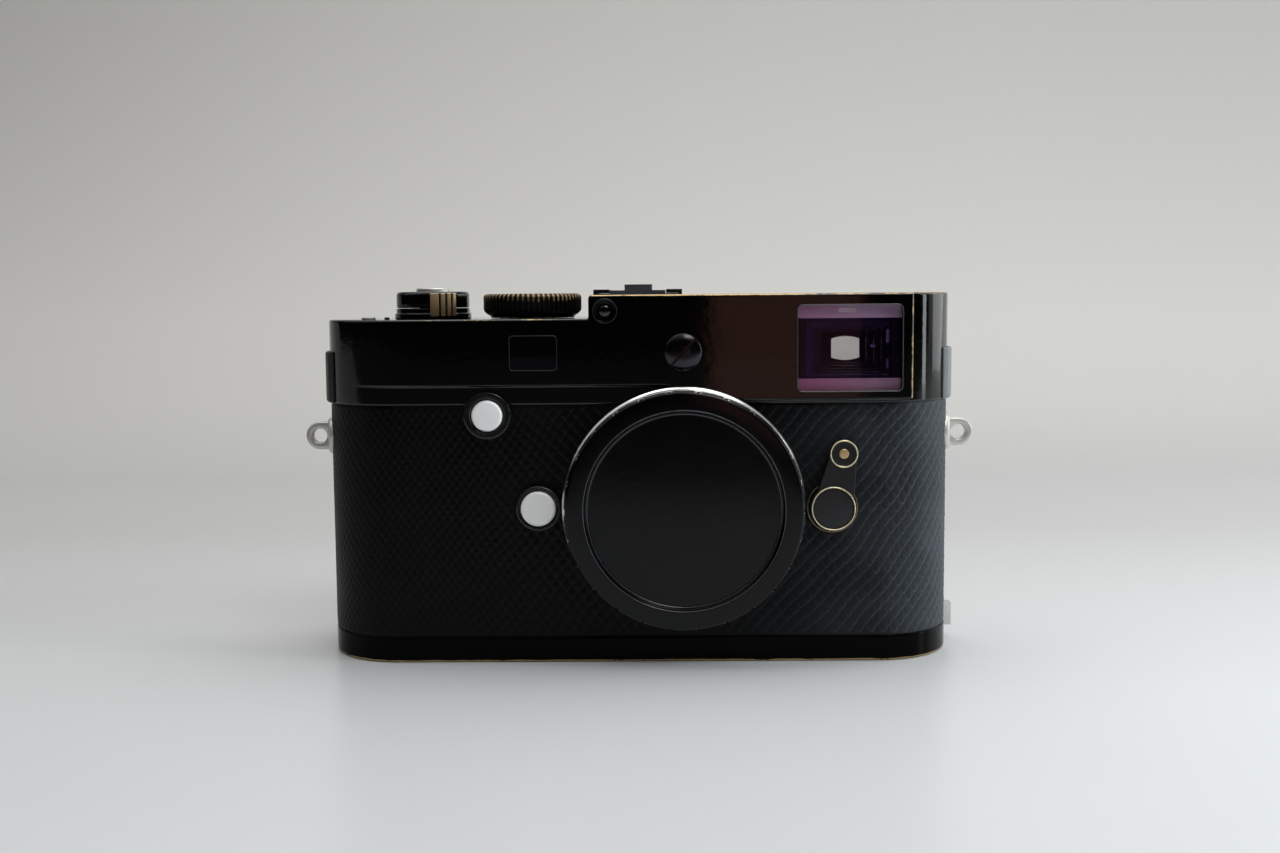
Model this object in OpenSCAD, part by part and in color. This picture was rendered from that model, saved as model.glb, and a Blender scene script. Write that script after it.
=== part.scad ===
// Digital rangefinder camera body with its body cap.
// +Z is up, +Y points to the rear and the front faces -Y.
// The origin is the mouth of the tripod socket, at the centre of the underside.

/* [Body] */
// Length of the body between its round ends, without the strap lugs
body_length = 138.6; // [136:0.1:142]
// Depth of the body, front leather to rear leather
body_depth = 34.4; // [34:0.1:36]
// Height of the removable bottom cover
base_height = 5.7; // [5.4:0.1:6]
// Height where the leather ends and the top cover begins
leather_top = 56.3; // [56:0.1:56.6]
// Height of the lower deck, under the dials
low_deck = 74.7; // [74.4:0.1:75]
// Height of the raised deck, over the viewfinder
high_deck = 79.7; // [79.4:0.1:80]
// Thickness of the leather
leather_thick = 0.8; // [0.6:0.1:0.9]
// How far the front of the top cover stands proud of the leather
bulge = 2.0; // [1.8:0.1:2.2]

/* [Lens mount] */
// Position of the lens axis along the body
lens_x = 9.9; // [9:0.1:11]
// Height of the lens axis
lens_z = 34.0; // [33.5:0.1:34.5]
// Outer radius of the mount flange
mount_r = 26.2; // [26:0.1:26.3]
// Height of the mount flange above the leather
mount_proud = 3.0; // [2.8:0.1:3.2]
// Radius of the throat behind the mount
throat_r = 20.4; // [20:0.1:20.6]
// Outer radius of the body cap
cap_r = 25.55; // [25.2:0.05:25.7]

/* [Controls] */
// Radius of the speed dial
dial_r = 11.0; // [10.6:0.1:11.2]
// Position of the speed dial along the body
dial_x = -23.6; // [-24:0.1:-23]
// Position of the shutter release along the body
release_x = -46.05; // [-47:0.05:-45]
// Radius of the shutter button
shutter_r = 3.65; // [3.3:0.05:3.8]
// Travel of the shutter button
shutter_travel = 1.6; // [1:0.1:1.8]
// Position of the frame selector's pivot along the body
selector_x = 41.8; // [41.6:0.1:42.4]
// Height of the frame selector's pivot
selector_z = 33.9; // [33:0.1:35]

/* [Rear] */
// Width of the display bezel
display_w = 68; // [64:1:69]
// Height of the display bezel
display_h = 45; // [42:1:46]
// Position of the button column along the body
column_x = 45.5; // [45:0.1:46]
// Distance between the buttons of the column
column_pitch = 7.6; // [7:0.1:7.7]
// Position of the direction pad along the body
pad_x = -46; // [-47:0.1:-45]

/* [Underside] */
// Radius of the tripod socket's thread, a quarter inch
tripod_r = 3.175; // [3.175]
// Position of the cover's latch along the body
latch_x = -48; // [-50:0.5:-46]

/* [Hidden] */
$fn = 96;
half_len = body_length / 2;
half_depth = body_depth / 2;
end_x = half_len - half_depth;
frame_half = half_depth - leather_thick;
wall = 2.0;
cover_wall = 1.4;
fit = 0.05;
gap = 0.3;
front_y = -half_depth - bulge;
mount_y = -half_depth - mount_proud;
step_x = -10.15;
bulge_left = -50.3;
bulge_corner = 12;
bulge_right = 58.73;
bulge_bottom = 60.5;
bulge_bottom_right = 57.2;
window_low = [34.0, 58.7];
window_high = [56.6, 77.4];
finder_low = [-27.1, 63.7];
finder_high = [-16.9, 71.2];
eyepiece_x = 48.7;
eyepiece_z = 66.9;
eyepiece_r = 7.6;
lens_button_x = -21.4;
lens_button_r = 3.75;
lens_button_travel = 1.2;
focus_x = -32.1;
focus_z = 54.1;
focus_r = 3.3;
lever_reach = [2.2, 11.7];
lever_tip_r = 3.06;
screw_x = 9.95;
screw_z = 67.44;
sensor_eye_x = -6.67;
sensor_eye_z = 76.28;
movie_x = -60.3;
movie_y = -2;
shoe_x = 0.1;
shoe_y = [-1, 17];
shoe_floor = 77.0;
lug_x = 71.8;
lug_z = 48.6;
lug_y = -2;
display_z = 32;
pad_z = 33;
pad_r = 8.6;
wheel_x = -46;
wheel_y = 12.2;
wheel_z = 67.2;
wheel_r = 6.3;
column_low = 13.2;
arm_pivot = [-10, 68];
arm_x = [8.9, 10.9];
bay_low = [-60, -6];
bay_high = [-29, 8];
card_low = [-22.6, -10.5];
card_high = [-20.4, 13.5];
blade_w = 45;
blade_h = 9;
blade_step = 8;
blade_top = 46.5;
cap_front = -24.4;
cap_back = mount_y - 0.15;

// ---- helpers ----

// Upright slab with full round ends, from height z0 to z1
module stadium(half_l, half_d, z0, z1) {
    translate([0, 0, z0])
        linear_extrude(z1 - z0) {
            square([2 * (half_l - half_d), 2 * half_d], center = true);
            for (side = [-1, 1])
                translate([side * (half_l - half_d), 0])
                    circle(half_d);
        }
}

// Body outline moved inwards by inset
module outline(inset, z0, z1) {
    stadium(half_len - inset, half_depth - inset, z0, z1);
}

// Round bar along Y from y0 to y1, at x and z
module bar_y(x, z, r, y0, y1) {
    translate([x, y1, z])
        rotate([90, 0, 0])
            cylinder(r = r, h = y1 - y0);
}

// Round bar along X from x0 to x1, at y and z
module bar_x(y, z, r, x0, x1) {
    translate([x0, y, z])
        rotate([0, 90, 0])
            cylinder(r = r, h = x1 - x0);
}

// Upright round bar from z0 to z1
module bar_z(x, y, r, z0, z1) {
    translate([x, y, z0])
        cylinder(r = r, h = z1 - z0);
}

// Box between two corners
module block(low, high) {
    translate(low)
        cube(high - low);
}

// Plate in the X-Z plane with round corners, from y0 to y1
module plate_y(low, high, r, y0, y1) {
    translate([0, y1, 0])
        rotate([90, 0, 0])
            linear_extrude(y1 - y0)
                rounded(low, high, r);
}

// Flat rectangle with round corners
module rounded(low, high, r) {
    translate([low[0] + r, low[1]])
        square([high[0] - low[0] - 2 * r, high[1] - low[1]]);
    translate([low[0], low[1] + r])
        square([high[0] - low[0], high[1] - low[1] - 2 * r]);
    for (x = [low[0] + r, high[0] - r], z = [low[1] + r, high[1] - r])
        translate([x, z])
            circle(r, $fn = 32);
}

// Ring of teeth cut in a knob's edge
module teeth(x, y, r, count, cut_r, z0, z1) {
    for (i = [0 : count - 1])
        translate([x, y, z0])
            rotate(360 * (i + 0.5) / count)
                translate([r, 0, 0])
                    cylinder(r = cut_r, h = z1 - z0, $fn = 4);
}

// ---- body ----

module chassis_frame() {
    color("dimgray")
        difference() {
            outline(leather_thick, base_height, leather_top);
            difference() {
                outline(leather_thick + wall, base_height + 1.5, leather_top + 1);
                // solid bosses behind the small front controls
                block([focus_x - 4, -frame_half, 48], [focus_x + 4, -11.5, leather_top]);
                bar_y(selector_x, selector_z, 5, -frame_half, -11);
            }
            bar_y(lens_x, lens_z, throat_r + 1.45, -half_depth, -frame_half + wall + 1);
            bar_y(lens_button_x, lens_z, 1.25, -half_depth, -10);
            bar_y(lens_x - 24, lens_z, 1.25, -half_depth, -10);
            bar_y(focus_x, focus_z, 1.25, -half_depth, -10);
            bar_y(selector_x, selector_z, 1.5 + fit, -half_depth, -9);
            bar_y(pad_x, pad_z, 1.4 + fit, 10, half_depth);
            column_holes(1.1, 10);
            block([bay_low[0] - 0.4, bay_low[1] - 0.4, 0], [bay_high[0] + 0.4, bay_high[1] + 0.4, 8]);
            block([card_low[0] - 0.3, card_low[1] - 0.3, 0], [card_high[0] + 0.3, card_high[1] + 0.3, 8]);
        }
}

// Shaft holes of the rear buttons
module column_holes(r, y0) {
    for (i = [0 : 5])
        bar_y(column_x, column_low + i * column_pitch, r, y0, half_depth + 1);
}

module leather_covering() {
    color([0.06, 0.06, 0.07])
        difference() {
            outline(0, base_height, leather_top);
            outline(leather_thick, base_height - 1, leather_top + 1);
            bar_y(lens_x, lens_z, mount_r + 0.1, -30, 0);
            bar_y(lens_button_x, lens_z, 5.05, -30, 0);
            bar_y(focus_x, focus_z, 5.25, -30, 0);
            bar_y(selector_x, selector_z, 5.55, -30, 0);
            plate_y(display_corner(-0.05, -1), display_corner(0.05, 1), 3.05, 0, 30);
            plate_y([column_x - 6.2, 8.6], [column_x + 6.2, 55.8], 2, 0, 30);
            bar_y(pad_x, pad_z, pad_r + 0.4, 0, 30);
            for (side = [-1, 1])
                bar_x(lug_y, lug_z, 3.65, side > 0 ? 60 : -80, side > 0 ? 80 : -60);
            block([60, 2.4, base_height - 1], [75, 7.6, 9.1]);
        }
}

// Corner of the display bezel, grown by extra; sign picks the low or the high corner
function display_corner(extra, sign) = [
    sign * (display_w / 2) + extra,
    display_z + sign * (display_h / 2) + extra
];

module cover_outside() {
    outline(0, leather_top, low_deck);
    intersection() {
        outline(0, leather_top, high_deck);
        block([step_x, -30, leather_top], [90, 30, high_deck]);
    }
    difference() {
        union() {
            bulge_slab(bulge_bottom, low_deck, -80);
            bulge_slab(bulge_bottom, high_deck, step_x);
            bulge_slab(bulge_bottom_right, bulge_bottom, lens_x);
        }
        block([bulge_right, -30, 0], [90, 0, 90]);
    }
}

// Proud front of the top cover right of x_min
module bulge_slab(z0, z1, x_min) {
    intersection() {
        translate([0, 0, z0])
            linear_extrude(z1 - z0) {
                translate([bulge_left, front_y])
                    square([bulge_right - bulge_left, 12]);
                translate([bulge_left, front_y + bulge_corner])
                    circle(bulge_corner);
            }
        block([x_min, -30, z0], [90, -6, z1]);
    }
}

module cover_inside() {
    outline(cover_wall, leather_top - 1, low_deck - cover_wall);
    intersection() {
        outline(cover_wall, leather_top, high_deck - cover_wall);
        block([step_x + cover_wall, -30, 0], [90, 30, 90]);
    }
    block([bulge_left + 2, front_y + cover_wall, bulge_bottom + cover_wall], [step_x, -10, low_deck - cover_wall]);
    block(
        [step_x - 1, front_y + cover_wall, bulge_bottom + cover_wall],
        [bulge_right - cover_wall, -10, low_deck - cover_wall]
    );
    block(
        [step_x + cover_wall, front_y + cover_wall, low_deck - 5],
        [bulge_right - cover_wall, -10, high_deck - cover_wall]
    );
}

module top_cover() {
    color([0.03, 0.03, 0.03]) {
        cover_shell();
        wheel_bearings();
    }
}

// Ledges inside the cover that hold the thumb wheel's axle
module wheel_bearings() {
    for (side = [-1, 1])
        difference() {
            translate([wheel_x, 13, wheel_z + side * 3.1])
                cube([5, 6, 0.8], center = true);
            bar_z(wheel_x, wheel_y, 1.2 + fit, 60, 75);
        }
}

module cover_shell() {
    difference() {
        cover_outside();
        difference() {
            cover_inside();
            // thick deck around the sunken accessory shoe
            block([shoe_x - 12, shoe_y[0] - 2, 75.4], [shoe_x + 12, 20, high_deck]);
        }
        block([shoe_x - 10, shoe_y[0], shoe_floor], [shoe_x + 10, 20, high_deck + 1]);
        bar_y(lens_x, lens_z, mount_r + 0.1, -30, -frame_half);
        plate_y(window_low, window_high, 1.1, -30, -10);
        plate_y(finder_low, finder_high, 0.8, -30, -10);
        bar_y(screw_x, screw_z, 2.1, -30, -10);
        bar_y(sensor_eye_x, sensor_eye_z, 2.0, -30, -10);
        bar_y(focus_x, focus_z, 5.25, -30, -frame_half);
        bar_y(eyepiece_x, eyepiece_z, 6, 10, 30);
        bar_z(dial_x, 0, 3 + fit, 70, 80);
        bar_z(release_x, 0, 5, 70, 80);
        bar_z(movie_x, movie_y, 1.6 + fit, 70, 80);
        block([wheel_x - 7.5, 8, wheel_z - 2.4], [wheel_x + 7.5, 30, wheel_z + 2.4]);
    }
}

module optics_base() {
    color("darkslategray") {
        difference() {
            block([-30, -15.2, leather_top], [54, 15.2, leather_top + 1.2]);
            block([arm_x[0] - 1, -15.5, 50], [arm_x[1] + 1, -5, 60]);
        }
        // ears that carry the rangefinder arm
        difference() {
            for (x = [arm_x[0] - 2.3, arm_x[1] + 0.3])
                block([x, -12.6, leather_top + 1.2], [x + 2, -7.4, arm_pivot[1] + 2.6]);
            bar_x(arm_pivot[0], arm_pivot[1], 1.2 + fit, 0, 20);
        }
    }
}

module viewfinder_block() {
    low = [window_low[0] + 1, window_low[1] + 1];
    high = [window_high[0] - 1, window_high[1] - 1];
    color([0.05, 0.05, 0.06]) {
        difference() {
            block([low[0], -17.5, low[1]], [high[0], 14.5, high[1]]);
            block([low[0] + 1, -18, low[1] + 1], [high[0] - 1, 12.5, high[1] - 1]);
            bar_y(eyepiece_x, eyepiece_z, 5, 10, 20);
        }
        block([low[0] + 2, -12, leather_top + 1.2], [high[0] - 2, 12, low[1]]);
    }
}

module viewfinder_glass() {
    color([0.25, 0.15, 0.3, 0.6])
        plate_y(
            [window_low[0] + 0.1, window_low[1] + 0.1],
            [window_high[0] - 0.1, window_high[1] - 0.1],
            1.0, front_y + 0.3, front_y + 1.5
        );
}

module viewfinder_mask() {
    hole_x = eyepiece_x - 1.2;
    hole_z = eyepiece_z + 0.3;
    color([0.1, 0.06, 0.12])
        difference() {
            block(
                [window_low[0] + 2.05, 4, window_low[1] + 2.05],
                [window_high[0] - 2.05, 5, window_high[1] - 2.05]
            );
            intersection() {
                block([hole_x - 4, 0, hole_z - 2.85], [hole_x + 4, 9, hole_z + 2.85]);
                bar_y(hole_x, hole_z, 3.3, 0, 9);
            }
        }
}

module eyepiece_ring() {
    color([0.08, 0.08, 0.08])
        difference() {
            union() {
                bar_y(eyepiece_x, eyepiece_z, eyepiece_r, half_depth, half_depth + 1.9);
                bar_y(eyepiece_x, eyepiece_z, 5.95, 14.6, half_depth);
            }
            bar_y(eyepiece_x, eyepiece_z, 5.2, half_depth - 0.4, half_depth + 3);
            bar_y(eyepiece_x, eyepiece_z, 4.6, 10, 20);
        }
}

module eyepiece_lens() {
    color([0.5, 0.55, 0.6, 0.4])
        bar_y(eyepiece_x, eyepiece_z, 5.15, half_depth - 0.4, half_depth + 0.8);
}

module rangefinder_window() {
    color([0.1, 0.08, 0.12])
        plate_y(
            [finder_low[0] + 0.05, finder_low[1] + 0.05],
            [finder_high[0] - 0.05, finder_high[1] - 0.05],
            0.75, front_y + 0.1, front_y + 1.3
        );
}

module rangefinder_arm() {
    roller = [-13, 52.4];
    color("gold") {
        block([arm_x[0], -11.4, 51.6], [arm_x[1], -9, arm_pivot[1] + 1.8]);
        bar_x(arm_pivot[0], arm_pivot[1], 1.2, arm_x[0] - 2.3, arm_x[1] + 2.3);
        bar_x(roller[0], roller[1], 1.9, arm_x[0], arm_x[1]);
    }
}

module light_sensor() {
    color([0.25, 0.26, 0.3])
        union() {
            difference() {
                bar_y(sensor_eye_x, sensor_eye_z, 2.67, front_y - 0.35, front_y);
                bar_y(sensor_eye_x, sensor_eye_z, 1.8, front_y - 1, front_y - 0.15);
            }
            bar_y(sensor_eye_x, sensor_eye_z, 1.95, front_y, front_y + 2.4);
            intersection() {
                translate([sensor_eye_x, front_y + 0.9, sensor_eye_z])
                    sphere(1.6);
                bar_y(sensor_eye_x, sensor_eye_z, 1.5, front_y - 3, front_y);
            }
        }
}

module cover_screw() {
    head_r = 4.0;
    head_height = 0.9;
    color("silver")
        difference() {
            union() {
                bar_y(screw_x, screw_z, head_r, front_y - head_height + 0.35, front_y);
                translate([screw_x, front_y - head_height + 0.35, screw_z])
                    rotate([90, 0, 0])
                        cylinder(r1 = head_r, r2 = head_r - 1.2, h = 0.35);
                bar_y(screw_x, screw_z, 2.05, front_y, front_y + 4);
            }
            translate([screw_x, front_y - head_height, screw_z])
                rotate([0, -45, 0])
                    cube([10, 1.1, 0.5], center = true);
        }
}

// ---- top controls ----

module speed_dial() {
    tooth_count = 48;
    color([0.07, 0.07, 0.07])
        difference() {
            union() {
                bar_z(dial_x, 0, 9.7, low_deck + 0.1, 76.9);
                translate([dial_x, 0, 76.8])
                    cylinder(r1 = dial_r - 0.5, r2 = dial_r, h = 0.5);
                bar_z(dial_x, 0, dial_r, 77.3, 79.6);
                translate([dial_x, 0, 79.6])
                    cylinder(r1 = dial_r, r2 = dial_r - 0.6, h = 0.5);
                bar_z(dial_x, 0, 3, 71, low_deck + 0.1);
            }
            teeth(dial_x, 0, dial_r + 0.1, tooth_count, 0.42, 76, 81);
        }
}

module release_collar() {
    color([0.07, 0.07, 0.07])
        difference() {
            union() {
                bar_z(release_x, 0, 8.2, low_deck, 75.4);
                bar_z(release_x, 0, 8.55, 75.4, 77.0);
                bar_z(release_x, 0, 4.95, 71, low_deck);
            }
            bar_z(release_x, 0, 2.2, 70, 80);
        }
}

module power_switch() {
    color([0.07, 0.07, 0.07])
        difference() {
            union() {
                bar_z(release_x, 0, 8.15, 77.15, 80.2);
                translate([release_x, 0, 80.2])
                    cylinder(r1 = 8.15, r2 = 7.6, h = 0.5);
                intersection() {
                    translate([release_x + 1.6, -7.9, 77.15])
                        rotate(10)
                            translate([-4, -0.9, 0])
                                cube([8, 3, 3]);
                    bar_z(release_x, 0, 8.9, 77, 80.2);
                }
            }
            bar_z(release_x, 0, shutter_r + 0.1, 77, 82);
        }
}

module shutter_button() {
    button_top = 81.6;
    color([0.1, 0.1, 0.1])
        difference() {
            union() {
                bar_z(release_x, 0, shutter_r, 79.2, button_top - 0.3);
                translate([release_x, 0, button_top - 0.3])
                    cylinder(r1 = shutter_r, r2 = shutter_r - 0.4, h = 0.3);
                bar_z(release_x, 0, 1.9, 75, 79.2);
            }
            bar_z(release_x, 0, 1.5, button_top - 3, button_top + 1);
        }
}

module shutter_spring() {
    turns = 3;
    pitch = 0.62;
    color("silver")
        for (i = [0 : turns - 1])
            translate([release_x, 0, 77.3 + i * pitch])
                rotate_extrude()
                    translate([2.8, 0])
                        circle(0.25, $fn = 24);
}

module movie_button() {
    color([0.1, 0.1, 0.1]) {
        bar_z(movie_x, movie_y, 1.6, 72, 75.3);
        bar_z(movie_x, movie_y, 1.3, 75.3, 75.5);
    }
}

module hot_shoe() {
    low = shoe_x - 9.95;
    high = shoe_x + 9.95;
    color("silver") {
        block([low, shoe_y[0] + fit, shoe_floor], [high, shoe_y[1], shoe_floor + 0.9]);
        for (side = [-1, 1])
            block(
                [shoe_x + side * 9.63 - 0.32, shoe_y[0] + fit, shoe_floor + 0.9],
                [shoe_x + side * 9.63 + 0.32, shoe_y[1], 80.2]
            );
        for (side = [-1, 1])
            block(
                [shoe_x + side * 8.2 - 1.75, shoe_y[0] + fit, 80.1],
                [shoe_x + side * 8.2 + 1.75, shoe_y[1], 80.9]
            );
    }
}

module hot_shoe_contacts() {
    contact_top = shoe_floor + 1.0;
    color("gold") {
        bar_z(shoe_x, 7.5, 1.3, shoe_floor + 0.9, contact_top);
        for (x = [-4.2, 4.2], y = [4.2, 11])
            bar_z(shoe_x + x, y, 0.9, shoe_floor + 0.9, contact_top);
    }
}

module hot_shoe_cover() {
    floor_z = shoe_floor + 1.1;
    color([0.12, 0.12, 0.12]) {
        block([shoe_x - 9.2, shoe_y[0] + 0.4, floor_z], [shoe_x + 9.2, shoe_y[1] - 0.4, 80.0]);
        block([shoe_x - 6.2, shoe_y[0] + 0.4, 80.0], [shoe_x + 6.2, shoe_y[1] - 0.4, 80.7]);
        block([shoe_x - 3.2, 10, 80.7], [shoe_x + 3.2, 14, 82.1]);
    }
}

// ---- lens mount ----

module lens_mount_ring() {
    lug_angle = 52;
    color("silver")
        difference() {
            bar_y(lens_x, lens_z, mount_r, mount_y, -frame_half);
            difference() {
                bar_y(lens_x, lens_z, 21.9, -30, 0);
                for (i = [0 : 2])
                    translate([lens_x, mount_y + 1.1, lens_z])
                        rotate([90, 120 * i, 0])
                            rotate(-lug_angle / 2)
                                rotate_extrude(angle = lug_angle)
                                    translate([20.5, 0])
                                        square([2, 1.1]);
            }
            bar_y(lens_x - 24, lens_z, 1.15 + fit, -30, 0);
            for (a = [45 : 90 : 315])
                bar_y(lens_x + 24 * cos(a), lens_z + 24 * sin(a), 1.55, -30, mount_y + 0.8);
        }
}

module mount_screws() {
    color("silver")
        for (a = [45 : 90 : 315])
            difference() {
                bar_y(lens_x + 24 * cos(a), lens_z + 24 * sin(a), 1.5, mount_y + 0.1, mount_y + 0.8);
                translate([lens_x + 24 * cos(a), mount_y + 0.1, lens_z + 24 * sin(a)])
                    rotate([0, a, 0])
                        cube([4, 0.5, 0.35], center = true);
            }
}

module mount_throat() {
    color([0.04, 0.04, 0.04])
        difference() {
            bar_y(lens_x, lens_z, throat_r + 1.4, -frame_half, 2.4);
            bar_y(lens_x, lens_z, throat_r, -30, 3);
            block([arm_x[0] - 1, -15.5, 50], [arm_x[1] + 1, -4, 60]);
        }
}

module lens_lock_pin() {
    color("silver")
        bar_y(lens_x - 24, lens_z, 1.15, mount_y - 0.6, -13.2);
}

// Cup that a round front button sits in
module button_bezel(x, z, outer, pocket, floor_y) {
    difference() {
        bar_y(x, z, outer, -half_depth - 1.7, -frame_half);
        bar_y(x, z, pocket, -30, floor_y);
        bar_y(x, z, 1.3, -30, 0);
    }
}

// Front button with a domed face and a stem
module domed_button(x, z, r, y0, y1, stem_end) {
    dome_r = 10;
    intersection() {
        bar_y(x, z, r, y0, y1);
        translate([x, y0 + dome_r, z])
            sphere(dome_r);
    }
    bar_y(x, z, 1.15, y1, stem_end);
}

module lens_release_bezel() {
    color([0.08, 0.08, 0.08])
        button_bezel(lens_button_x, lens_z, 4.98, lens_button_r + 0.1, -frame_half - 0.4);
}

module lens_release_button() {
    color("silver")
        domed_button(lens_button_x, lens_z, lens_button_r, -half_depth - 2.2, -half_depth - 0.9, -12.8);
}

module focus_bezel() {
    color([0.08, 0.08, 0.08])
        button_bezel(focus_x, focus_z, 5.2, focus_r + 0.1, -frame_half - 0.4);
}

module focus_button() {
    color("silver")
        domed_button(focus_x, focus_z, focus_r, -half_depth - 2.1, -half_depth - 0.8, -12.4);
}

module body_cap() {
    color([0.12, 0.12, 0.12])
        difference() {
            union() {
                bar_y(lens_x, lens_z, cap_r, cap_front + 0.5, cap_back);
                translate([lens_x, cap_front + 0.5, lens_z])
                    rotate([90, 0, 0])
                        cylinder(r1 = cap_r, r2 = cap_r - 0.5, h = 0.5);
            }
            bar_y(lens_x, lens_z, 21.3, cap_front - 1, cap_front + 1.0);
            bar_y(lens_x, lens_z, 3 + fit, cap_back - 1.5, -17);
            // groove that clears the lens lock pin over the cap's turn
            difference() {
                bar_y(lens_x, lens_z, 25.4, cap_back - 0.8, -19);
                bar_y(lens_x, lens_z, 22.6, -30, 0);
            }
        }
}

module cap_bayonet() {
    bayonet_r = throat_r - 0.3;
    plate_y0 = cap_back + 0.1;
    color([0.12, 0.12, 0.12])
        difference() {
            union() {
                bar_y(lens_x, lens_z, bayonet_r, plate_y0, -17.2);
                bar_y(lens_x, lens_z, 3, cap_back - 1.3, plate_y0);
            }
            bar_y(lens_x, lens_z, bayonet_r - 1.2, plate_y0 + 0.9, -17);
        }
}

// ---- frame selector ----

module selector_collar() {
    color([0.08, 0.08, 0.08])
        difference() {
            bar_y(selector_x, selector_z, 5.5, -half_depth - 1.0, -frame_half);
            bar_y(selector_x, selector_z, 1.5 + fit, -30, 0);
        }
}

// Flat arm between two discs, from the pivot to the tip, as a tapered quadrilateral
module lever_arm(r0, r1) {
    reach = norm(lever_reach);
    angle = atan2(lever_reach[1], lever_reach[0]);
    lean = asin((r0 - r1) / reach);
    rotate(angle)
        polygon([
            [r0 * sin(lean), -r0 * cos(lean)],
            [reach + r1 * sin(lean), -r1 * cos(lean)],
            [reach + r1 * sin(lean), r1 * cos(lean)],
            [r0 * sin(lean), r0 * cos(lean)]
        ]);
}

module selector_lever() {
    lever_y = -half_depth - 1.1;
    tip = [selector_x + lever_reach[0], selector_z + lever_reach[1]];
    color([0.07, 0.07, 0.07])
        difference() {
            union() {
                bar_y(selector_x, selector_z, 4.9, lever_y - 2.2, lever_y);
                translate([selector_x, lever_y, selector_z])
                    rotate([90, 0, 0])
                        linear_extrude(1.6)
                            lever_arm(4.2, 2.9);
                bar_y(tip[0], tip[1], lever_tip_r, lever_y - 1.9, lever_y);
                bar_y(selector_x, selector_z, 1.5, lever_y, -9.5);
            }
            bar_y(selector_x, selector_z, 4.0, -30, lever_y - 1.9);
            difference() {
                bar_y(tip[0], tip[1], 2.3, -30, lever_y - 1.2);
                bar_y(tip[0], tip[1], 1.05, lever_y - 2.1, 0);
            }
        }
}

// ---- lugs, pads and hook ----

module strap_lugs() {
    color("silver")
        for (side = [-1, 1])
            difference() {
                union() {
                    bar_y(side * lug_x, lug_z, 3.1, lug_y - 1.2, lug_y + 1.2);
                    translate([side * (half_len + 0.25), lug_y, lug_z])
                        rotate([0, 90, 0])
                            cylinder(r = 3.6, h = 1.2, center = true);
                }
                bar_y(side * lug_x, lug_z, 1.6, -10, 10);
            }
}

module side_pads() {
    color([0.16, 0.16, 0.17])
        for (side = [-1, 1])
            intersection() {
                difference() {
                    bar_z(side * end_x, 0, half_depth + 1.0, leather_top, 67.8);
                    bar_z(side * end_x, 0, half_depth + 0.01, 50, 70);
                }
                block([side > 0 ? end_x : -80, -9, 50], [side > 0 ? 80 : -end_x, 9, 70]);
            }
}

module hook_post() {
    color("silver") {
        bar_x(5, 6.9, 1.1, 68.2, 70.4);
        block([69.6, 3.6, 3.0], [72, 6.4, 8.2]);
    }
}

// ---- rear ----

module display_bezel() {
    color([0.07, 0.07, 0.07])
        difference() {
            plate_y(display_corner(0, -1), display_corner(0, 1), 3, frame_half, half_depth + 0.5);
            plate_y(display_corner(1.5, -1), display_corner(-1.5, 1), 1.6, half_depth - 0.5, half_depth + 2);
        }
}

module display_glass() {
    color([0.03, 0.03, 0.04])
        plate_y(display_corner(1.55, -1), display_corner(-1.55, 1), 1.55, half_depth - 0.5, half_depth + 0.4);
}

// One button of the column; row 0 is the lowest
module rear_button(row) {
    z = column_low + row * column_pitch;
    color([0.1, 0.1, 0.1]) {
        plate_y([column_x - 5, z - 2.4], [column_x + 5, z + 2.4], 1.8, half_depth - 0.1, half_depth + 0.9);
        bar_y(column_x, z, 1.0, 13, half_depth);
    }
}

module set_button() rear_button(0);
module menu_button() rear_button(1);
module iso_button() rear_button(2);
module delete_button() rear_button(3);
module play_button() rear_button(4);
module live_view_button() rear_button(5);

module direction_pad() {
    color([0.1, 0.1, 0.1])
        difference() {
            bar_y(pad_x, pad_z, pad_r, half_depth - 0.1, half_depth + 1.3);
            bar_y(pad_x, pad_z, 3.6, 0, 30);
        }
}

module centre_button() {
    color([0.12, 0.12, 0.12]) {
        bar_y(pad_x, pad_z, 3.2, half_depth + 0.2, half_depth + 1.5);
        bar_y(pad_x, pad_z, 1.4, 13, half_depth + 0.2);
    }
}

module thumb_wheel() {
    color([0.1, 0.1, 0.1])
        difference() {
            union() {
                bar_z(wheel_x, wheel_y, wheel_r, wheel_z - 2, wheel_z + 2);
                bar_z(wheel_x, wheel_y, 1.2, wheel_z - 3.4, wheel_z + 3.4);
            }
            teeth(wheel_x, wheel_y, wheel_r + 0.1, 30, 0.42, wheel_z - 3, wheel_z + 3);
        }
}

// ---- underside ----

module bottom_cover() {
    color([0.03, 0.03, 0.03])
        difference() {
            outline(0, 0, base_height);
            outline(cover_wall, cover_wall, base_height + 1);
            bar_z(0, 0, 5.2, -1, 3);
            bar_z(latch_x, 0, 8.0 + fit, -1, 3);
            block([68.5, 3.2, 2.6], [75, 6.8, 9]);
        }
}

module tripod_socket() {
    color("silver")
        difference() {
            union() {
                bar_z(0, 0, 5.2, 0, cover_wall);
                bar_z(0, 0, 6.4, cover_wall, 5.4);
            }
            bar_z(0, 0, tripod_r, -1, 4.9);
        }
}

module latch_turnlock() {
    color("silver")
        difference() {
            union() {
                bar_z(latch_x, 0, 8.0, 0.2, 2.2);
                bar_z(latch_x, 0, 3, 2.2, 4);
                block([latch_x - 2, -10.5, 3.6], [latch_x + 2, 3, 4.8]);
            }
            // half-round pocket for the folded handle
            intersection() {
                bar_z(latch_x, 0, 7.0, -1, 1.3);
                block([latch_x - 8, -8, -1], [latch_x + 8, 1.3, 1.3]);
            }
        }
}

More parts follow.
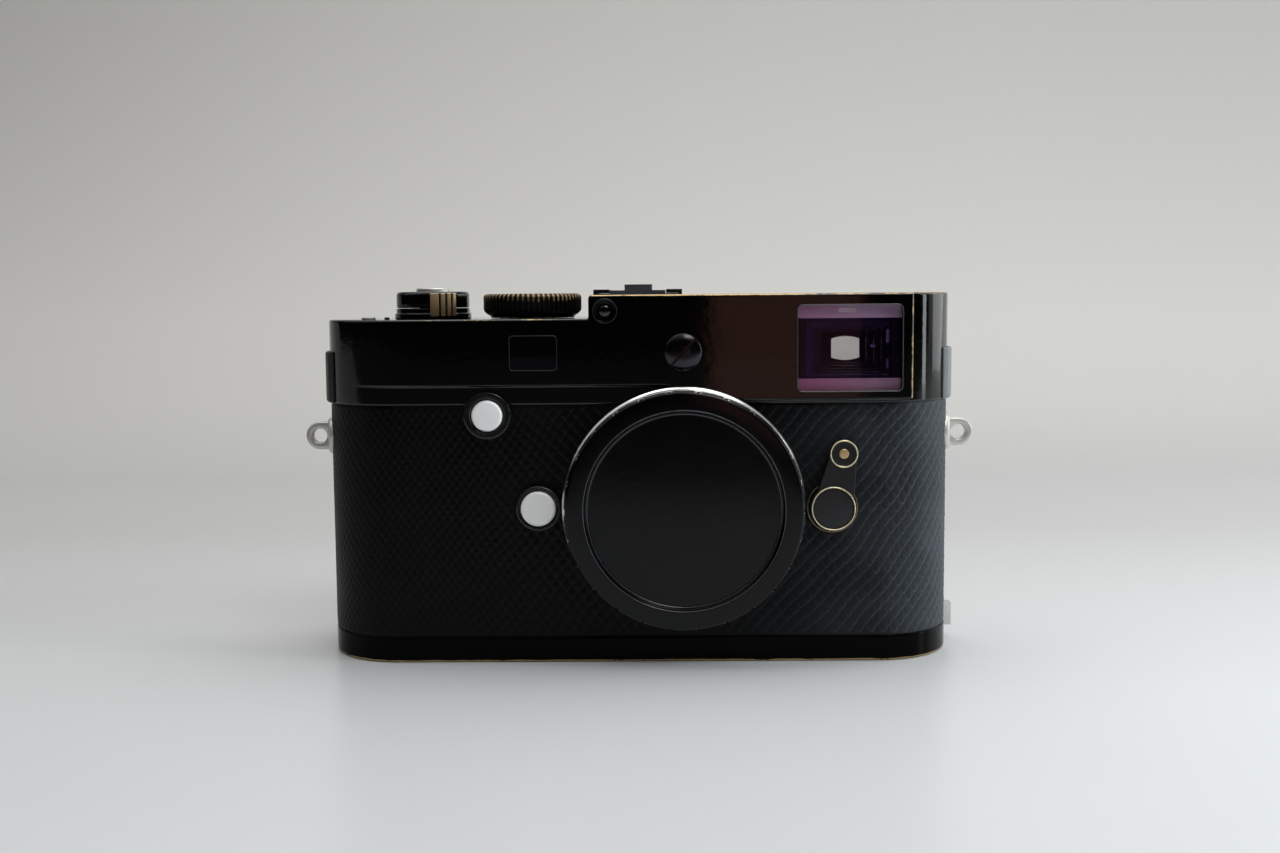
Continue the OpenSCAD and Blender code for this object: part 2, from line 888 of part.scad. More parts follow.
module latch_toggle() {
    color("silver") {
        difference() {
            intersection() {
                bar_z(latch_x, 0, 6.6, 0.25, 1.1);
                block([latch_x - 8, -8, -1], [latch_x + 8, 0, 2]);
            }
            intersection() {
                bar_z(latch_x, 0, 4.6, -1, 3);
                block([latch_x - 8, -8, -1], [latch_x + 8, -1.4, 3]);
            }
        }
        bar_x(0, 0.68, 0.42, latch_x - 6.5, latch_x + 6.5);
    }
}

module battery() {
    color([0.15, 0.15, 0.16])
        block([bay_low[0], bay_low[1], base_height + 0.6], [bay_high[0], bay_high[1], 52]);
}

module memory_card() {
    color([0.1, 0.2, 0.45])
        block([card_low[0], card_low[1], base_height + 0.8], [card_high[0], card_high[1], 39]);
}

// ---- interior ----

module sensor_module() {
    color("darkgreen") {
        block([lens_x - 21, 8.6, 17], [lens_x + 21, 10.4, 50]);
        block([lens_x - 18, 7.6, lens_z - 12], [lens_x + 18, 8.6, lens_z + 12]);
        for (x = [-18, 18], z = [20, 48])
            bar_y(lens_x + x, z, 1.6, 10.4, frame_half - wall);
    }
}

module main_board() {
    color("darkgreen") {
        block([37, 8, 12], [58, 9.4, 50]);
        block([40, 6.8, 20], [52, 8, 32]);
    }
    color("silver")
        for (x = [39.5, 51.5])
            bar_y(x, 47.5, 1.4, 9.4, frame_half - wall);
}

module shutter_frame() {
    color([0.15, 0.15, 0.15])
        difference() {
            block([lens_x - 26, 2.4, 9.5], [lens_x + 26, 6.6, 50]);
            block([lens_x - blade_w / 2 - 0.5, 3.0, 11], [lens_x + blade_w / 2 + 0.5, 6.0, 48]);
            block([lens_x - 18, 0, lens_z - 12], [lens_x + 18, 9, lens_z + 12]);
        }
}

// One blade of the shutter curtain; layer 0 is the highest and the nearest to the front
module shutter_blade(layer) {
    y = 3.3 + 0.8 * layer;
    z = blade_top - layer * blade_step;
    color([0.25, 0.25, 0.27])
        block([lens_x - blade_w / 2, y, z - blade_h], [lens_x + blade_w / 2, y + 0.4, z]);
}

module shutter_blade_top() shutter_blade(0);
module shutter_blade_middle() shutter_blade(1);
module shutter_blade_bottom() shutter_blade(2);

chassis_frame();
leather_covering();
top_cover();
optics_base();
viewfinder_block();
viewfinder_glass();
viewfinder_mask();
eyepiece_ring();
eyepiece_lens();
rangefinder_window();
rangefinder_arm();
light_sensor();
cover_screw();
speed_dial();
release_collar();
power_switch();
shutter_button();
shutter_spring();
movie_button();
hot_shoe();
hot_shoe_contacts();
hot_shoe_cover();
lens_mount_ring();
mount_screws();
mount_throat();
lens_lock_pin();
lens_release_bezel();
lens_release_button();
focus_bezel();
focus_button();
selector_collar();
selector_lever();
body_cap();
cap_bayonet();
strap_lugs();
side_pads();
hook_post();
display_bezel();
display_glass();
live_view_button();
play_button();
delete_button();
iso_button();
menu_button();
set_button();
direction_pad();
centre_button();
thumb_wheel();
bottom_cover();
tripod_socket();
latch_turnlock();
latch_toggle();
battery();
memory_card();
sensor_module();
main_board();
shutter_frame();
shutter_blade_top();
shutter_blade_middle();
shutter_blade_bottom();
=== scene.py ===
"""Looks of the rangefinder camera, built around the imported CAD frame. Lengths in metres."""

import math

import bmesh
import bpy
import numpy as np
from mathutils import Matrix, Vector


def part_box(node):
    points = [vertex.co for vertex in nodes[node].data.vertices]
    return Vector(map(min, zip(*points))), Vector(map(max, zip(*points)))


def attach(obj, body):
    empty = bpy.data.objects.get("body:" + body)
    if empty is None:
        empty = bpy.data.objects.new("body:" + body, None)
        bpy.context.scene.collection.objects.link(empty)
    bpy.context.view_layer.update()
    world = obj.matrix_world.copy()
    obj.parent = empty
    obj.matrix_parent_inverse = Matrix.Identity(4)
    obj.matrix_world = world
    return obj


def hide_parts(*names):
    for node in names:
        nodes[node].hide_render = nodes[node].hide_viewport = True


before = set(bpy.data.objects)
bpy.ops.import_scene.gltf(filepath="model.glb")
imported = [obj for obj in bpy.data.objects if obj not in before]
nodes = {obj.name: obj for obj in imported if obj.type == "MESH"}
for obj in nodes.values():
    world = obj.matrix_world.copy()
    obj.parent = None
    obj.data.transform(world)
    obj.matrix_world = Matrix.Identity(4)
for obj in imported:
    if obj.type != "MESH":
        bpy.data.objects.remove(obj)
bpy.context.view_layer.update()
MM = 0.001

# ---- places taken from the frame, in millimetres ----


def box_mm(node):
    """Lowest and highest corner of a CAD node, in millimetres."""
    low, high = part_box(node)
    return np.array(low) / MM, np.array(high) / MM


def middle(node):
    """Centre of a CAD node's box, in millimetres."""
    low, high = box_mm(node)
    return (low + high) / 2


leather_low, leather_high = box_mm("leather_covering")
cover_low, cover_high = box_mm("top_cover")
base_low, base_high = box_mm("bottom_cover")
HALF_LENGTH = leather_high[0]
HALF_DEPTH = leather_high[1]
END_X = HALF_LENGTH - HALF_DEPTH
BULGE = -cover_low[1] - HALF_DEPTH
LEATHER_Z = (leather_low[2], leather_high[2])
HIGH_DECK = cover_high[2]
LOW_DECK = 74.7
STEP_X = -10.15
STEP_START, STEP_END = STEP_X - 0.45, STEP_X + 0.9
FOOT_R, SHOULDER_R = 0.4, 0.8
BULGE_RIGHT = 58.73
FRONT_SEAT = -16.45
EYE_X, EYE_Y, EYE_Z = 71.8, -2, 48.6
RIM = 0.6
lens = middle("lens_mount_ring")
LENS_X, LENS_Z = lens[0], lens[2]
MOUNT_R = (box_mm("lens_mount_ring")[1] - box_mm("lens_mount_ring")[0])[0] / 2

# ---- mesh helpers ----


def make_object(name, verts, faces, material, wear=None, body="camera_body", angle=35):
    """Mesh object from points in millimetres, smooth below an edge angle, riding on a body."""
    mesh = bpy.data.meshes.new(name)
    mesh.from_pydata([tuple(np.array(v, float) * MM) for v in verts], [], faces)
    if wear is not None:
        layer = mesh.attributes.new("wear", "FLOAT", "POINT")
        layer.data.foreach_set("value", np.array(wear, np.float32))
    return add_mesh(name, mesh, material, body, angle)


def link_object(name, data):
    """New object with the given data, linked to the scene."""
    obj = bpy.data.objects.new(name, data)
    bpy.context.scene.collection.objects.link(obj)
    return obj


def add_mesh(name, mesh, material, body="camera_body", angle=35):
    """Cleans a mesh, makes it an object with smooth shading and lets it ride on a body."""
    work = bmesh.new()
    work.from_mesh(mesh)
    bmesh.ops.remove_doubles(work, verts=work.verts, dist=1e-6)
    bmesh.ops.dissolve_degenerate(work, edges=work.edges, dist=1e-7)
    bmesh.ops.recalc_face_normals(work, faces=work.faces)
    work.to_mesh(mesh)
    work.free()
    for polygon in mesh.polygons:
        polygon.use_smooth = True
    mesh.set_sharp_from_angle(angle=math.radians(angle))
    obj = link_object(name, mesh)
    mesh.materials.append(material)
    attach(obj, body)
    return obj


def weighted(obj):
    """Keeps flat faces flat next to rounded edges."""
    modifier = obj.modifiers.new("weighted", "WEIGHTED_NORMAL")
    modifier.keep_sharp = True
    modifier.weight = 50
    return obj


def arc(centre, radius, start, end, steps=5):
    """Points of an arc in the plane, angles in degrees."""
    angles = np.radians(np.linspace(start, end, steps + 1))
    return [(centre[0] + radius * math.cos(a), centre[1] + radius * math.sin(a)) for a in angles]


def circle(x, across, radius, count):
    """Closed outline of a circle with the given number of points."""
    angles = np.linspace(0, 2 * math.pi, count + 1)[:-1]
    return [(x + radius * math.cos(a), across + radius * math.sin(a)) for a in angles]


def set_out(points, plane, level):
    """Flat (x, across) points as 3-D points at a level of plane "y" or "z"."""
    return [(p[0], level, p[1]) if plane == "y" else (p[0], p[1], level) for p in points]


def outline_normals(outline):
    """Unit directions at the points of a closed outline: inward, edge before, and tangent.

    Inward holds for an anticlockwise outline; for a clockwise one it points outward.
    """
    before = outline - np.roll(outline, 1, 0)
    after = np.roll(outline, -1, 0) - outline
    before = before / np.linalg.norm(before, axis=1)[:, None]
    tangent = before + after / np.linalg.norm(after, axis=1)[:, None]
    tangent /= np.linalg.norm(tangent, axis=1)[:, None]
    return np.stack([-tangent[:, 1], tangent[:, 0]], 1), before, tangent


def band_faces(count, n, closed=False):
    """Faces between rings of n points; closed also joins the last ring to the first."""
    faces = []
    for k in range(count if closed else count - 1):
        m = (k + 1) % count
        for i in range(n):
            j = (i + 1) % n
            faces.append((k * n + i, k * n + j, m * n + j, m * n + i))
    return faces


def end_faces(count, n):
    """Faces that close the first and the last of some rings of n points."""
    return [tuple(range(n))[::-1], tuple(range((count - 1) * n, count * n))]


def rounded_profile(points, steps=4):
    """Polyline of (radius, height, corner, wear) with each corner rounded; corner, wear may be absent.

    Returns (radius, height, wear) points. A corner of zero stays sharp.
    """
    out = []
    points = [(*point, 0, 0)[:4] for point in points]
    count = len(points)
    for i, (r, h, corner, wear) in enumerate(points):
        here = np.array([r, h], float)
        if corner <= 0 or i in (0, count - 1):
            out.append((r, h, wear))
            continue
        before = np.array(points[i - 1][:2], float) - here
        after = np.array(points[i + 1][:2], float) - here
        cut = min(corner, 0.45 * np.linalg.norm(before), 0.45 * np.linalg.norm(after))
        p0 = here + before / np.linalg.norm(before) * cut
        p2 = here + after / np.linalg.norm(after) * cut
        for k in range(steps + 1):
            t = k / steps
            p = (1 - t) ** 2 * p0 + 2 * t * (1 - t) * here + t * t * p2
            out.append((p[0], p[1], wear if 0 < k < steps else wear * 0.5))
    return out


def lathe(name, x, across, axis, profile, material, body, segments=128, ripple=None, angle=35):
    """Turned piece about Y (axis "y", across is z) or about Z (axis "z", across is y).

    The profile holds (radius, place along the axis, corner, wear); corner and wear are 0 where left
    out. ripple(angle, radius, place) gives a radius change and a change of the wear value, for teeth and
    lands (on the cap's lands it is a painted highlight).
    """
    points = rounded_profile(profile)
    verts, wears, faces = [], [], []
    for s in range(segments):
        a = 2 * math.pi * s / segments
        for r, h, wear in points:
            extra, more = ripple(a, r, h) if ripple else (0, 0)
            radius = max(r + extra, 0)
            if axis == "y":
                verts.append((x + radius * math.cos(a), h, across + radius * math.sin(a)))
            else:
                verts.append((x + radius * math.cos(a), across + radius * math.sin(a), h))
            wears.append(wear + more)
    n = len(points)
    for s in range(segments):
        t = (s + 1) % segments
        for k in range(n - 1):
            faces.append((s * n + k, s * n + k + 1, t * n + k + 1, t * n + k))
    return make_object(name, verts, faces, material, wears, body, angle)


def boolean(obj, cutter, operation="DIFFERENCE"):
    """Applies an exact boolean with a cutter and removes the cutter."""
    modifier = obj.modifiers.new("cut", "BOOLEAN")
    modifier.operation = operation
    modifier.solver = "EXACT"
    modifier.object = cutter
    bpy.context.view_layer.update()
    graph = bpy.context.evaluated_depsgraph_get()
    mesh = bpy.data.meshes.new_from_object(obj.evaluated_get(graph))
    obj.modifiers.clear()
    old = obj.data
    obj.data = mesh
    bpy.data.meshes.remove(old)
    bpy.data.objects.remove(cutter)
    for polygon in obj.data.polygons:
        polygon.use_smooth = True
    obj.data.set_sharp_from_angle(angle=math.radians(30))


def slab(name, outline, plane, low, high, bevel, material, body="camera_body", wear_edges=0.6, steps=3):
    """Flat piece: a closed outline in a plane, thick from low to high, with rounded rims.

    plane "y" takes (x, z) outlines and "z" takes (x, y) outlines.
    """
    outline = np.array(outline, float)
    area = 0.5 * np.sum(
        outline[:, 0] * np.roll(outline[:, 1], -1) - np.roll(outline[:, 0], -1) * outline[:, 1]
    )
    if area < 0:
        outline = outline[::-1]
    inward, before, tangent = outline_normals(outline)
    stretch = 1 / np.maximum(0.5, np.sum(tangent * before, 1))
    rings = []
    for k in range(steps + 1):
        a = math.pi / 2 * k / steps
        rings.append((bevel * (1 - math.sin(a)), low + bevel * (1 - math.cos(a)), k))
    for k in range(steps, -1, -1):
        a = math.pi / 2 * k / steps
        rings.append((bevel * (1 - math.sin(a)), high - bevel * (1 - math.cos(a)), k))
    verts, wears = [], []
    for inset, h, k in rings:
        verts += set_out(outline + inward * (inset * stretch)[:, None], plane, h)
        wears += [wear_edges if 0 < k < steps else 0.0] * len(outline)
    n = len(outline)
    faces = band_faces(len(rings), n) + end_faces(len(rings), n)
    return weighted(make_object(name, verts, faces, material, wears, body, 50))


def round_rect(x0, x1, z0, z1, r, steps=6):
    """Outline of a rectangle with round corners."""
    return (
        arc((x1 - r, z0 + r), r, -90, 0, steps)
        + arc((x1 - r, z1 - r), r, 0, 90, steps)
        + arc((x0 + r, z1 - r), r, 90, 180, steps)
        + arc((x0 + r, z0 + r), r, 180, 270, steps)
    )


def bar_cutter(x, y0, y1, z, r, segments=64):
    """Round cutter along Y."""
    work = bmesh.new()
    bmesh.ops.create_cone(
        work, cap_ends=True, segments=segments, radius1=r * MM, radius2=r * MM,
        depth=(y1 - y0) * MM, matrix=Matrix.Translation(Vector((x, (y0 + y1) / 2, z)) * MM)
        @ Matrix.Rotation(math.pi / 2, 4, "X"),
    )
    mesh = bpy.data.meshes.new("cutter")
    work.to_mesh(mesh)
    work.free()
    return link_object("cutter", mesh)


def prism_cutter(outline, plane, low, high):
    """Straight cutter with the given outline."""
    n = len(outline)
    verts = []
    for h in (low, high):
        verts += set_out(outline, plane, h)
    faces = [tuple(range(n))[::-1], tuple(range(n, 2 * n))]
    faces += [(i, (i + 1) % n, n + (i + 1) % n, n + i) for i in range(n)]
    mesh = bpy.data.meshes.new("cutter")
    mesh.from_pydata([tuple(np.array(v, float) * MM) for v in verts], [], faces)
    work = bmesh.new()
    work.from_mesh(mesh)
    bmesh.ops.recalc_face_normals(work, faces=work.faces)
    work.to_mesh(mesh)
    work.free()
    return link_object("cutter", mesh)


# ---- materials ----


class Paint:
    """Small builder for a Principled material."""

    def __init__(self, name, color, rough, metal=0.0, **sockets):
        self.material = bpy.data.materials.new(name)
        self.material.use_nodes = True
        self.tree = self.material.node_tree
        self.shader = self.tree.nodes["Principled BSDF"]
        self.set("Base Color", (*color, 1))
        self.set("Roughness", rough)
        self.set("Metallic", metal)
        for key, value in sockets.items():
            self.set(key.replace("_", " "), value)
        self.place = self.tree.nodes.new("ShaderNodeTexCoord").outputs["Object"]

    def set(self, socket, value):
        self.shader.inputs[socket].default_value = value

    def link(self, output, socket):
        self.tree.links.new(output, self.shader.inputs[socket])

    def noise(self, scale, detail=3.0, rough=0.5, stretch=None):
        node = self.tree.nodes.new("ShaderNodeTexNoise")
        node.inputs["Scale"].default_value = scale
        node.inputs["Detail"].default_value = detail
        node.inputs["Roughness"].default_value = rough
        source = self.place
        if stretch:
            mapping = self.tree.nodes.new("ShaderNodeMapping")
            mapping.inputs["Scale"].default_value = stretch
            self.tree.links.new(source, mapping.inputs["Vector"])
            source = mapping.outputs["Vector"]
        self.tree.links.new(source, node.inputs["Vector"])
        return node.outputs["Fac"]

    def cells(self, scale, feature="F1", jitter=1.0):
        node = self.tree.nodes.new("ShaderNodeTexVoronoi")
        node.feature = feature
        node.inputs["Scale"].default_value = scale
        node.inputs["Randomness"].default_value = jitter
        self.tree.links.new(self.place, node.inputs["Vector"])
        return node.outputs["Distance"]

    def math(self, operation, a, b=None, clamp=False):
        node = self.tree.nodes.new("ShaderNodeMath")
        node.operation = operation
        node.use_clamp = clamp
        for index, value in enumerate((a, b)):
            if value is None:
                continue
            if isinstance(value, (int, float)):
                node.inputs[index].default_value = value
            else:
                self.tree.links.new(value, node.inputs[index])
        return node.outputs["Value"]

    def spread(self, value, low, high, out_low=0.0, out_high=1.0):
        node = self.tree.nodes.new("ShaderNodeMapRange")
        node.inputs["From Min"].default_value = low
        node.inputs["From Max"].default_value = high
        node.inputs["To Min"].default_value = out_low
        node.inputs["To Max"].default_value = out_high
        self.tree.links.new(value, node.inputs["Value"])
        return node.outputs["Result"]

    def mix(self, factor, first, second):
        return self.blend("MIX", factor, first, second)

    def blend(self, kind, factor, first, second):
        node = self.tree.nodes.new("ShaderNodeMix")
        node.data_type = "RGBA"
        node.blend_type = kind
        self.tree.links.new(factor, node.inputs["Factor"])
        for socket, value in (("A", first), ("B", second)):
            if isinstance(value, tuple):
                node.inputs[socket].default_value = (*value, 1)
            else:
                self.tree.links.new(value, node.inputs[socket])
        return node.outputs["Result"]

    def along(self, axis):
        """The object's own coordinate on an axis."""
        split = self.tree.nodes.new("ShaderNodeSeparateXYZ")
        self.tree.links.new(self.place, split.inputs["Vector"])
        return split.outputs[axis]

    def attribute(self, name):
        node = self.tree.nodes.new("ShaderNodeAttribute")
        node.attribute_name = name
        return node.outputs["Fac"]

    def bump(self, height, distance, strength=1.0, after=None):
        node = self.tree.nodes.new("ShaderNodeBump")
        node.inputs["Distance"].default_value = distance
        node.inputs["Strength"].default_value = strength
        self.tree.links.new(height, node.inputs["Height"])
        if after is not None:
            self.tree.links.new(after, node.inputs["Normal"])
        self.link(node.outputs["Normal"], "Normal")
        return node.outputs["Normal"]


BRASS = (0.37, 0.26, 0.13)


def worn_enamel(name, color, rough, threshold, softness, orange_peel, brass=BRASS, speck=900, level=0.5):
    """Black enamel over brass: the wear attribute and a noise decide where the brass shows. On the body cap
    the same mask lays pale painted highlights on the rim instead.
    """
    paint = Paint(name, color, rough, 0.0, IOR=1.5, Specular_IOR_Level=level)
    wear = paint.attribute("wear")
    patch = paint.noise(160, 4.0, 0.6)
    grit = paint.noise(speck, 2.0)
    pattern = paint.math("MULTIPLY", paint.math("ADD", patch, paint.math("MULTIPLY", grit, 0.35)), wear)
    mask = paint.spread(pattern, threshold, threshold + softness)
    paint.link(paint.mix(mask, color, brass), "Base Color")
    paint.link(mask, "Metallic")
    smudge = paint.noise(90, 5.0, 0.65)
    base_rough = paint.spread(smudge, 0.35, 0.75, rough * 0.75, rough * 1.5)
    paint.link(paint.math("ADD", base_rough, paint.math("MULTIPLY", mask, 0.22)), "Roughness")
    paint.bump(paint.noise(700, 2.0), 0.0001 * orange_peel, 0.25)
    return paint.material


def plain_metal(name, color, rough, streak=0.25, direction=(1, 1, 1)):
    """Metal with fine scratches in its gloss."""
    paint = Paint(name, color, rough, 1.0)
    grain = paint.noise(1400, 3.0, 0.6, direction)
    paint.link(paint.spread(grain, 0.3, 0.7, rough * (1 - streak), rough * (1 + streak)), "Roughness")
    tint = paint.noise(220, 3.0)
    darker = tuple(c * 0.86 for c in color)
    paint.link(paint.mix(paint.spread(tint, 0.35, 0.7), color, darker), "Base Color")
    paint.bump(grain, 0.00003, 0.2)
    return paint.material


def moulded(name, color, rough, grain_scale=2600, depth=0.00003, **sockets):
    """Plastic or painted alloy with a fine grain."""
    paint = Paint(name, color, rough, 0.0, **sockets)
    cloud = paint.noise(180, 4.0)
    lighter = tuple(min(1, c * 1.35 + 0.002) for c in color)
    paint.link(paint.mix(paint.spread(cloud, 0.3, 0.75), color, lighter), "Base Color")
    paint.link(paint.spread(cloud, 0.3, 0.7, rough * 0.85, min(1, rough * 1.15)), "Roughness")
    paint.bump(paint.noise(grain_scale, 2.0), depth, 0.35)
    return paint.material


def snake_leather():
    """Black embossed leather with a painted sheen growing towards its right end and painted highlights along
    the scale ridges; scales are real, wrinkles are bump.
    """
    color = (0.0007, 0.0008, 0.0009)
    paint = Paint("leather", color, 0.42, 0.0, IOR=1.5, Specular_IOR_Level=0.13)
    crest_highlight = paint.attribute("crest_highlight")
    cloud = paint.noise(70, 4.0)
    # colour of the painted highlight on the scale ridges
    lighter = (0.0060, 0.0068, 0.0080)
    # how much painted highlight a place gets, plus a random tone
    highlight_and_tone = paint.math("ADD", paint.math("MULTIPLY", crest_highlight, 0.60), paint.spread(cloud, 0.4, 0.8, 0, 0.25))
    # painted sheen: the colour grows paler and bluer towards the right end, where the light falls
    right_sheen = paint.spread(paint.along("X"), 0.0, 0.068)
    right_sheen = paint.math("MULTIPLY", paint.math("MULTIPLY", right_sheen, right_sheen), right_sheen)
    plain = paint.mix(right_sheen, color, (0.0247, 0.0290, 0.0345))
    wear_and_highlight = paint.mix(right_sheen, lighter, (0.165, 0.187, 0.214))
    paint.link(paint.mix(highlight_and_tone, plain, wear_and_highlight), "Base Color")
    paint.link(paint.spread(cloud, 0.3, 0.75, 0.36, 0.5), "Roughness")
    wrinkle = paint.noise(1500, 4.0, 0.6)
    pores = paint.cells(1900)
    normal = paint.bump(wrinkle, 0.00006, 0.35)
    paint.bump(pores, 0.00004, 0.3, normal)
    return paint.material


def prism_band(name, left, right):
    """Mauve coated strip, paler towards the right."""
    paint = Paint(name, left, 0.35)
    across = paint.spread(paint.along("X"), 0.036, 0.056)
    cloud = paint.spread(paint.noise(120, 2.0, 0.5, (0.25, 1, 2.5)), 0.2, 0.7, 0.6, 1.0)
    paint.link(paint.mix(paint.math("MULTIPLY", across, cloud), left, right), "Base Color")
    return paint.material


def coated_glass(name, color, alpha, rough=0.03, coat=(0.45, 0.25, 0.6)):
    """Thin coated glass seen through: a tinted gloss over a clear gap."""
    paint = Paint(name, color, rough, 0.0, IOR=1.6)
    paint.set("Alpha", alpha)
    paint.set("Coat Weight", 0.6)
    paint.set("Coat Roughness", 0.02)
    paint.set("Coat Tint", (*coat, 1))
    tint = paint.noise(60, 2.0)
    darker = tuple(c * 0.7 for c in color)
    paint.link(paint.mix(tint, color, darker), "Base Color")
    return paint.material


LOOK = {
    "enamel": worn_enamel("enamel", (0.0005, 0.0005, 0.0004), 0.055, 0.42, 0.10, 0.3),
    "dial_metal": worn_enamel("dial_metal", (0.004, 0.004, 0.004), 0.24, 0.40, 0.16, 0.6),
    "rim_metal": worn_enamel("rim_metal", (0.0035, 0.0035, 0.0035), 0.22, 0.38, 0.08, 0.3,
                             (0.78, 0.60, 0.36)),
    "lever_rim": worn_enamel("lever_rim", (0.006, 0.006, 0.0075), 0.38, 0.34, 0.06, 0.3, (0.92, 0.78, 0.55)),
    # the cap's pale marks are painted highlights on its rim lands and step edges
    "cap": worn_enamel("cap", (0.0007, 0.0009, 0.0014), 0.115, 0.42, 0.08, 0.4, (0.7, 0.62, 0.5), 900, 0.25),
    "base_enamel": worn_enamel("base_enamel", (0.0005, 0.0005, 0.0005), 0.07, 0.42, 0.10, 0.3, BRASS, 900,
                               0.06),
    "leather": snake_leather(),
    "steel": plain_metal("steel", (0.80, 0.79, 0.77), 0.18),
    "satin": plain_metal("satin", (0.66, 0.64, 0.60), 0.42, 0.25, (1, 1, 6)),
    "lug": moulded("lug", (0.55, 0.53, 0.49), 0.42, 2200, 0.00002, Metallic=0.6),
    "silver": moulded("silver", (0.99, 0.985, 0.97), 0.42, 2200, 0.00001, Metallic=0.10),
    "brass": plain_metal("brass", (0.80, 0.60, 0.32), 0.38),
    "old_brass": plain_metal("old_brass", (0.06, 0.042, 0.03), 0.4),
    "dark_steel": plain_metal("dark_steel", (0.045, 0.045, 0.05), 0.20),
    "dark_rim": plain_metal("dark_rim", (0.075, 0.075, 0.082), 0.35),
    "edge_line": plain_metal("edge_line", (0.17, 0.17, 0.165), 0.32),
    "dim_line": plain_metal("dim_line", (0.22, 0.23, 0.25), 0.35),
    "frame": moulded("frame", (0.05, 0.05, 0.052), 0.55),
    "matte": moulded("matte", (0.006, 0.006, 0.0065), 0.55),
    "lever": moulded("lever", (0.0018, 0.0018, 0.0022), 0.34, 3600, 0.00004),
    # one rubber in a lit and a shaded copy: the lighter colour is painted light for the right pad, the darker
    # one painted shade for the left pad
    "rubber": moulded("rubber", (0.14, 0.15, 0.155), 0.50),
    "shaded_rubber": moulded("shaded_rubber", (0.010, 0.010, 0.010), 0.50),
    "grip_brass": worn_enamel("grip_brass", (0.010, 0.008, 0.006), 0.22, 0.30, 0.12, 0.6, (0.60, 0.44, 0.24)),
    "dull_steel": plain_metal("dull_steel", (0.34, 0.33, 0.32), 0.45),
    "shoe_rubber": moulded("shoe_rubber", (0.055, 0.055, 0.058), 0.5),
    "gold_line": moulded("gold_line", (0.84, 0.70, 0.47), 0.28, 2200, 0.00001, Metallic=0.85),
    "bronze_line": plain_metal("bronze_line", (0.40, 0.30, 0.20), 0.30),
    "gloss": moulded("gloss", (0.006, 0.006, 0.007), 0.2, 3000, 0.00001),
    "hollow": moulded("hollow", (0.0008, 0.0004, 0.002), 0.7, Specular_IOR_Level=0.06),
    "baffle": moulded("baffle", (0.0025, 0.0008, 0.028), 0.22, 3000, 0.000005, Specular_IOR_Level=0.25),
    "band_top": prism_band("band_top", (0.47, 0.23, 0.39), (0.54, 0.36, 0.55)),
    "band_low": prism_band("band_low", (0.34, 0.10, 0.21), (0.42, 0.26, 0.37)),
    "notch": moulded("notch", (0.55, 0.42, 0.50), 0.45),
    "glint": plain_metal("glint", (0.45, 0.35, 0.95), 0.4),
    "board": moulded("board", (0.01, 0.07, 0.03), 0.4),
    "battery": moulded("battery", (0.02, 0.02, 0.022), 0.5),
    "card": moulded("card", (0.02, 0.05, 0.16), 0.4),
    "blade": plain_metal("blade", (0.12, 0.12, 0.125), 0.4, 0.3, (1, 1, 8)),
    "white_mark": moulded("white_mark", (0.6, 0.6, 0.58), 0.5),
    "violet_glass": coated_glass("violet_glass", (0.010, 0.003, 0.02), 0.13, 0.02, (0.6, 0.35, 0.8)),
    "clear_glass": coated_glass("clear_glass", (0.02, 0.02, 0.02), 0.24, 0.02, (0.5, 0.5, 0.8)),
    "dark_glass": coated_glass("dark_glass", (0.0015, 0.0012, 0.002), 0.97, 0.03, (0.3, 0.25, 0.4)),
    "display": moulded("display", (0.003, 0.003, 0.004), 0.06, 3000, 0.000004),
    "screen": moulded("screen", (0.008, 0.009, 0.012), 0.12, 3000, 0.000004),
}


# ---- the body shells ----


def deck_samples():
    """Places along the deck line from left to right: x, height and the line's normal."""
    end = [END_X + HALF_DEPTH * math.cos(a) for a in np.radians(np.linspace(0, 90, 25))]
    xs = [-x for x in end] + end + list(np.linspace(-END_X, END_X, 28)) + list(np.linspace(3, 20, 12))
    xs += [-61.2, -60.4, -59.6, -58.8, -57.9, -56.8, -55.6, -54.2]
    xs += [BULGE_RIGHT - d for d in (2, 1, 0.75, 0.6, 0.45, 0.3, 0.18, 0.08, 0.03, 0, -0.01, -0.5)]
    low = [(x, LOW_DECK, 0, 1) for x in sorted(set(np.round(xs, 3))) if x < STEP_START]
    high = [(x, HIGH_DECK, 0, 1) for x in sorted(set(np.round(xs, 3))) if x > STEP_END]
    turn = []
    for a in np.radians(np.linspace(0, 90, 6)):
        turn.append((STEP_X - FOOT_R + FOOT_R * math.sin(a), LOW_DECK + FOOT_R - FOOT_R * math.cos(a),
                     -math.sin(a), math.cos(a)))
    for a in np.radians(np.linspace(90, 0, 7)):
        turn.append((STEP_X + SHOULDER_R - SHOULDER_R * math.sin(a),
                     HIGH_DECK - SHOULDER_R + SHOULDER_R * math.cos(a), -math.sin(a), math.cos(a)))
    return np.array(low + turn + high, float)


def end_normal(x, side):
    """Outline point and outward normal of the round-ended slab at x; side -1 is the front."""
    over = np.clip(np.abs(x) - END_X, 0, HALF_DEPTH)
    ny = np.sqrt(np.maximum(0, 1 - (over / HALF_DEPTH) ** 2))
    nx = np.sign(x) * over / HALF_DEPTH
    return np.stack([x, side * HALF_DEPTH * ny], 1), np.stack([nx, side * ny], 1)


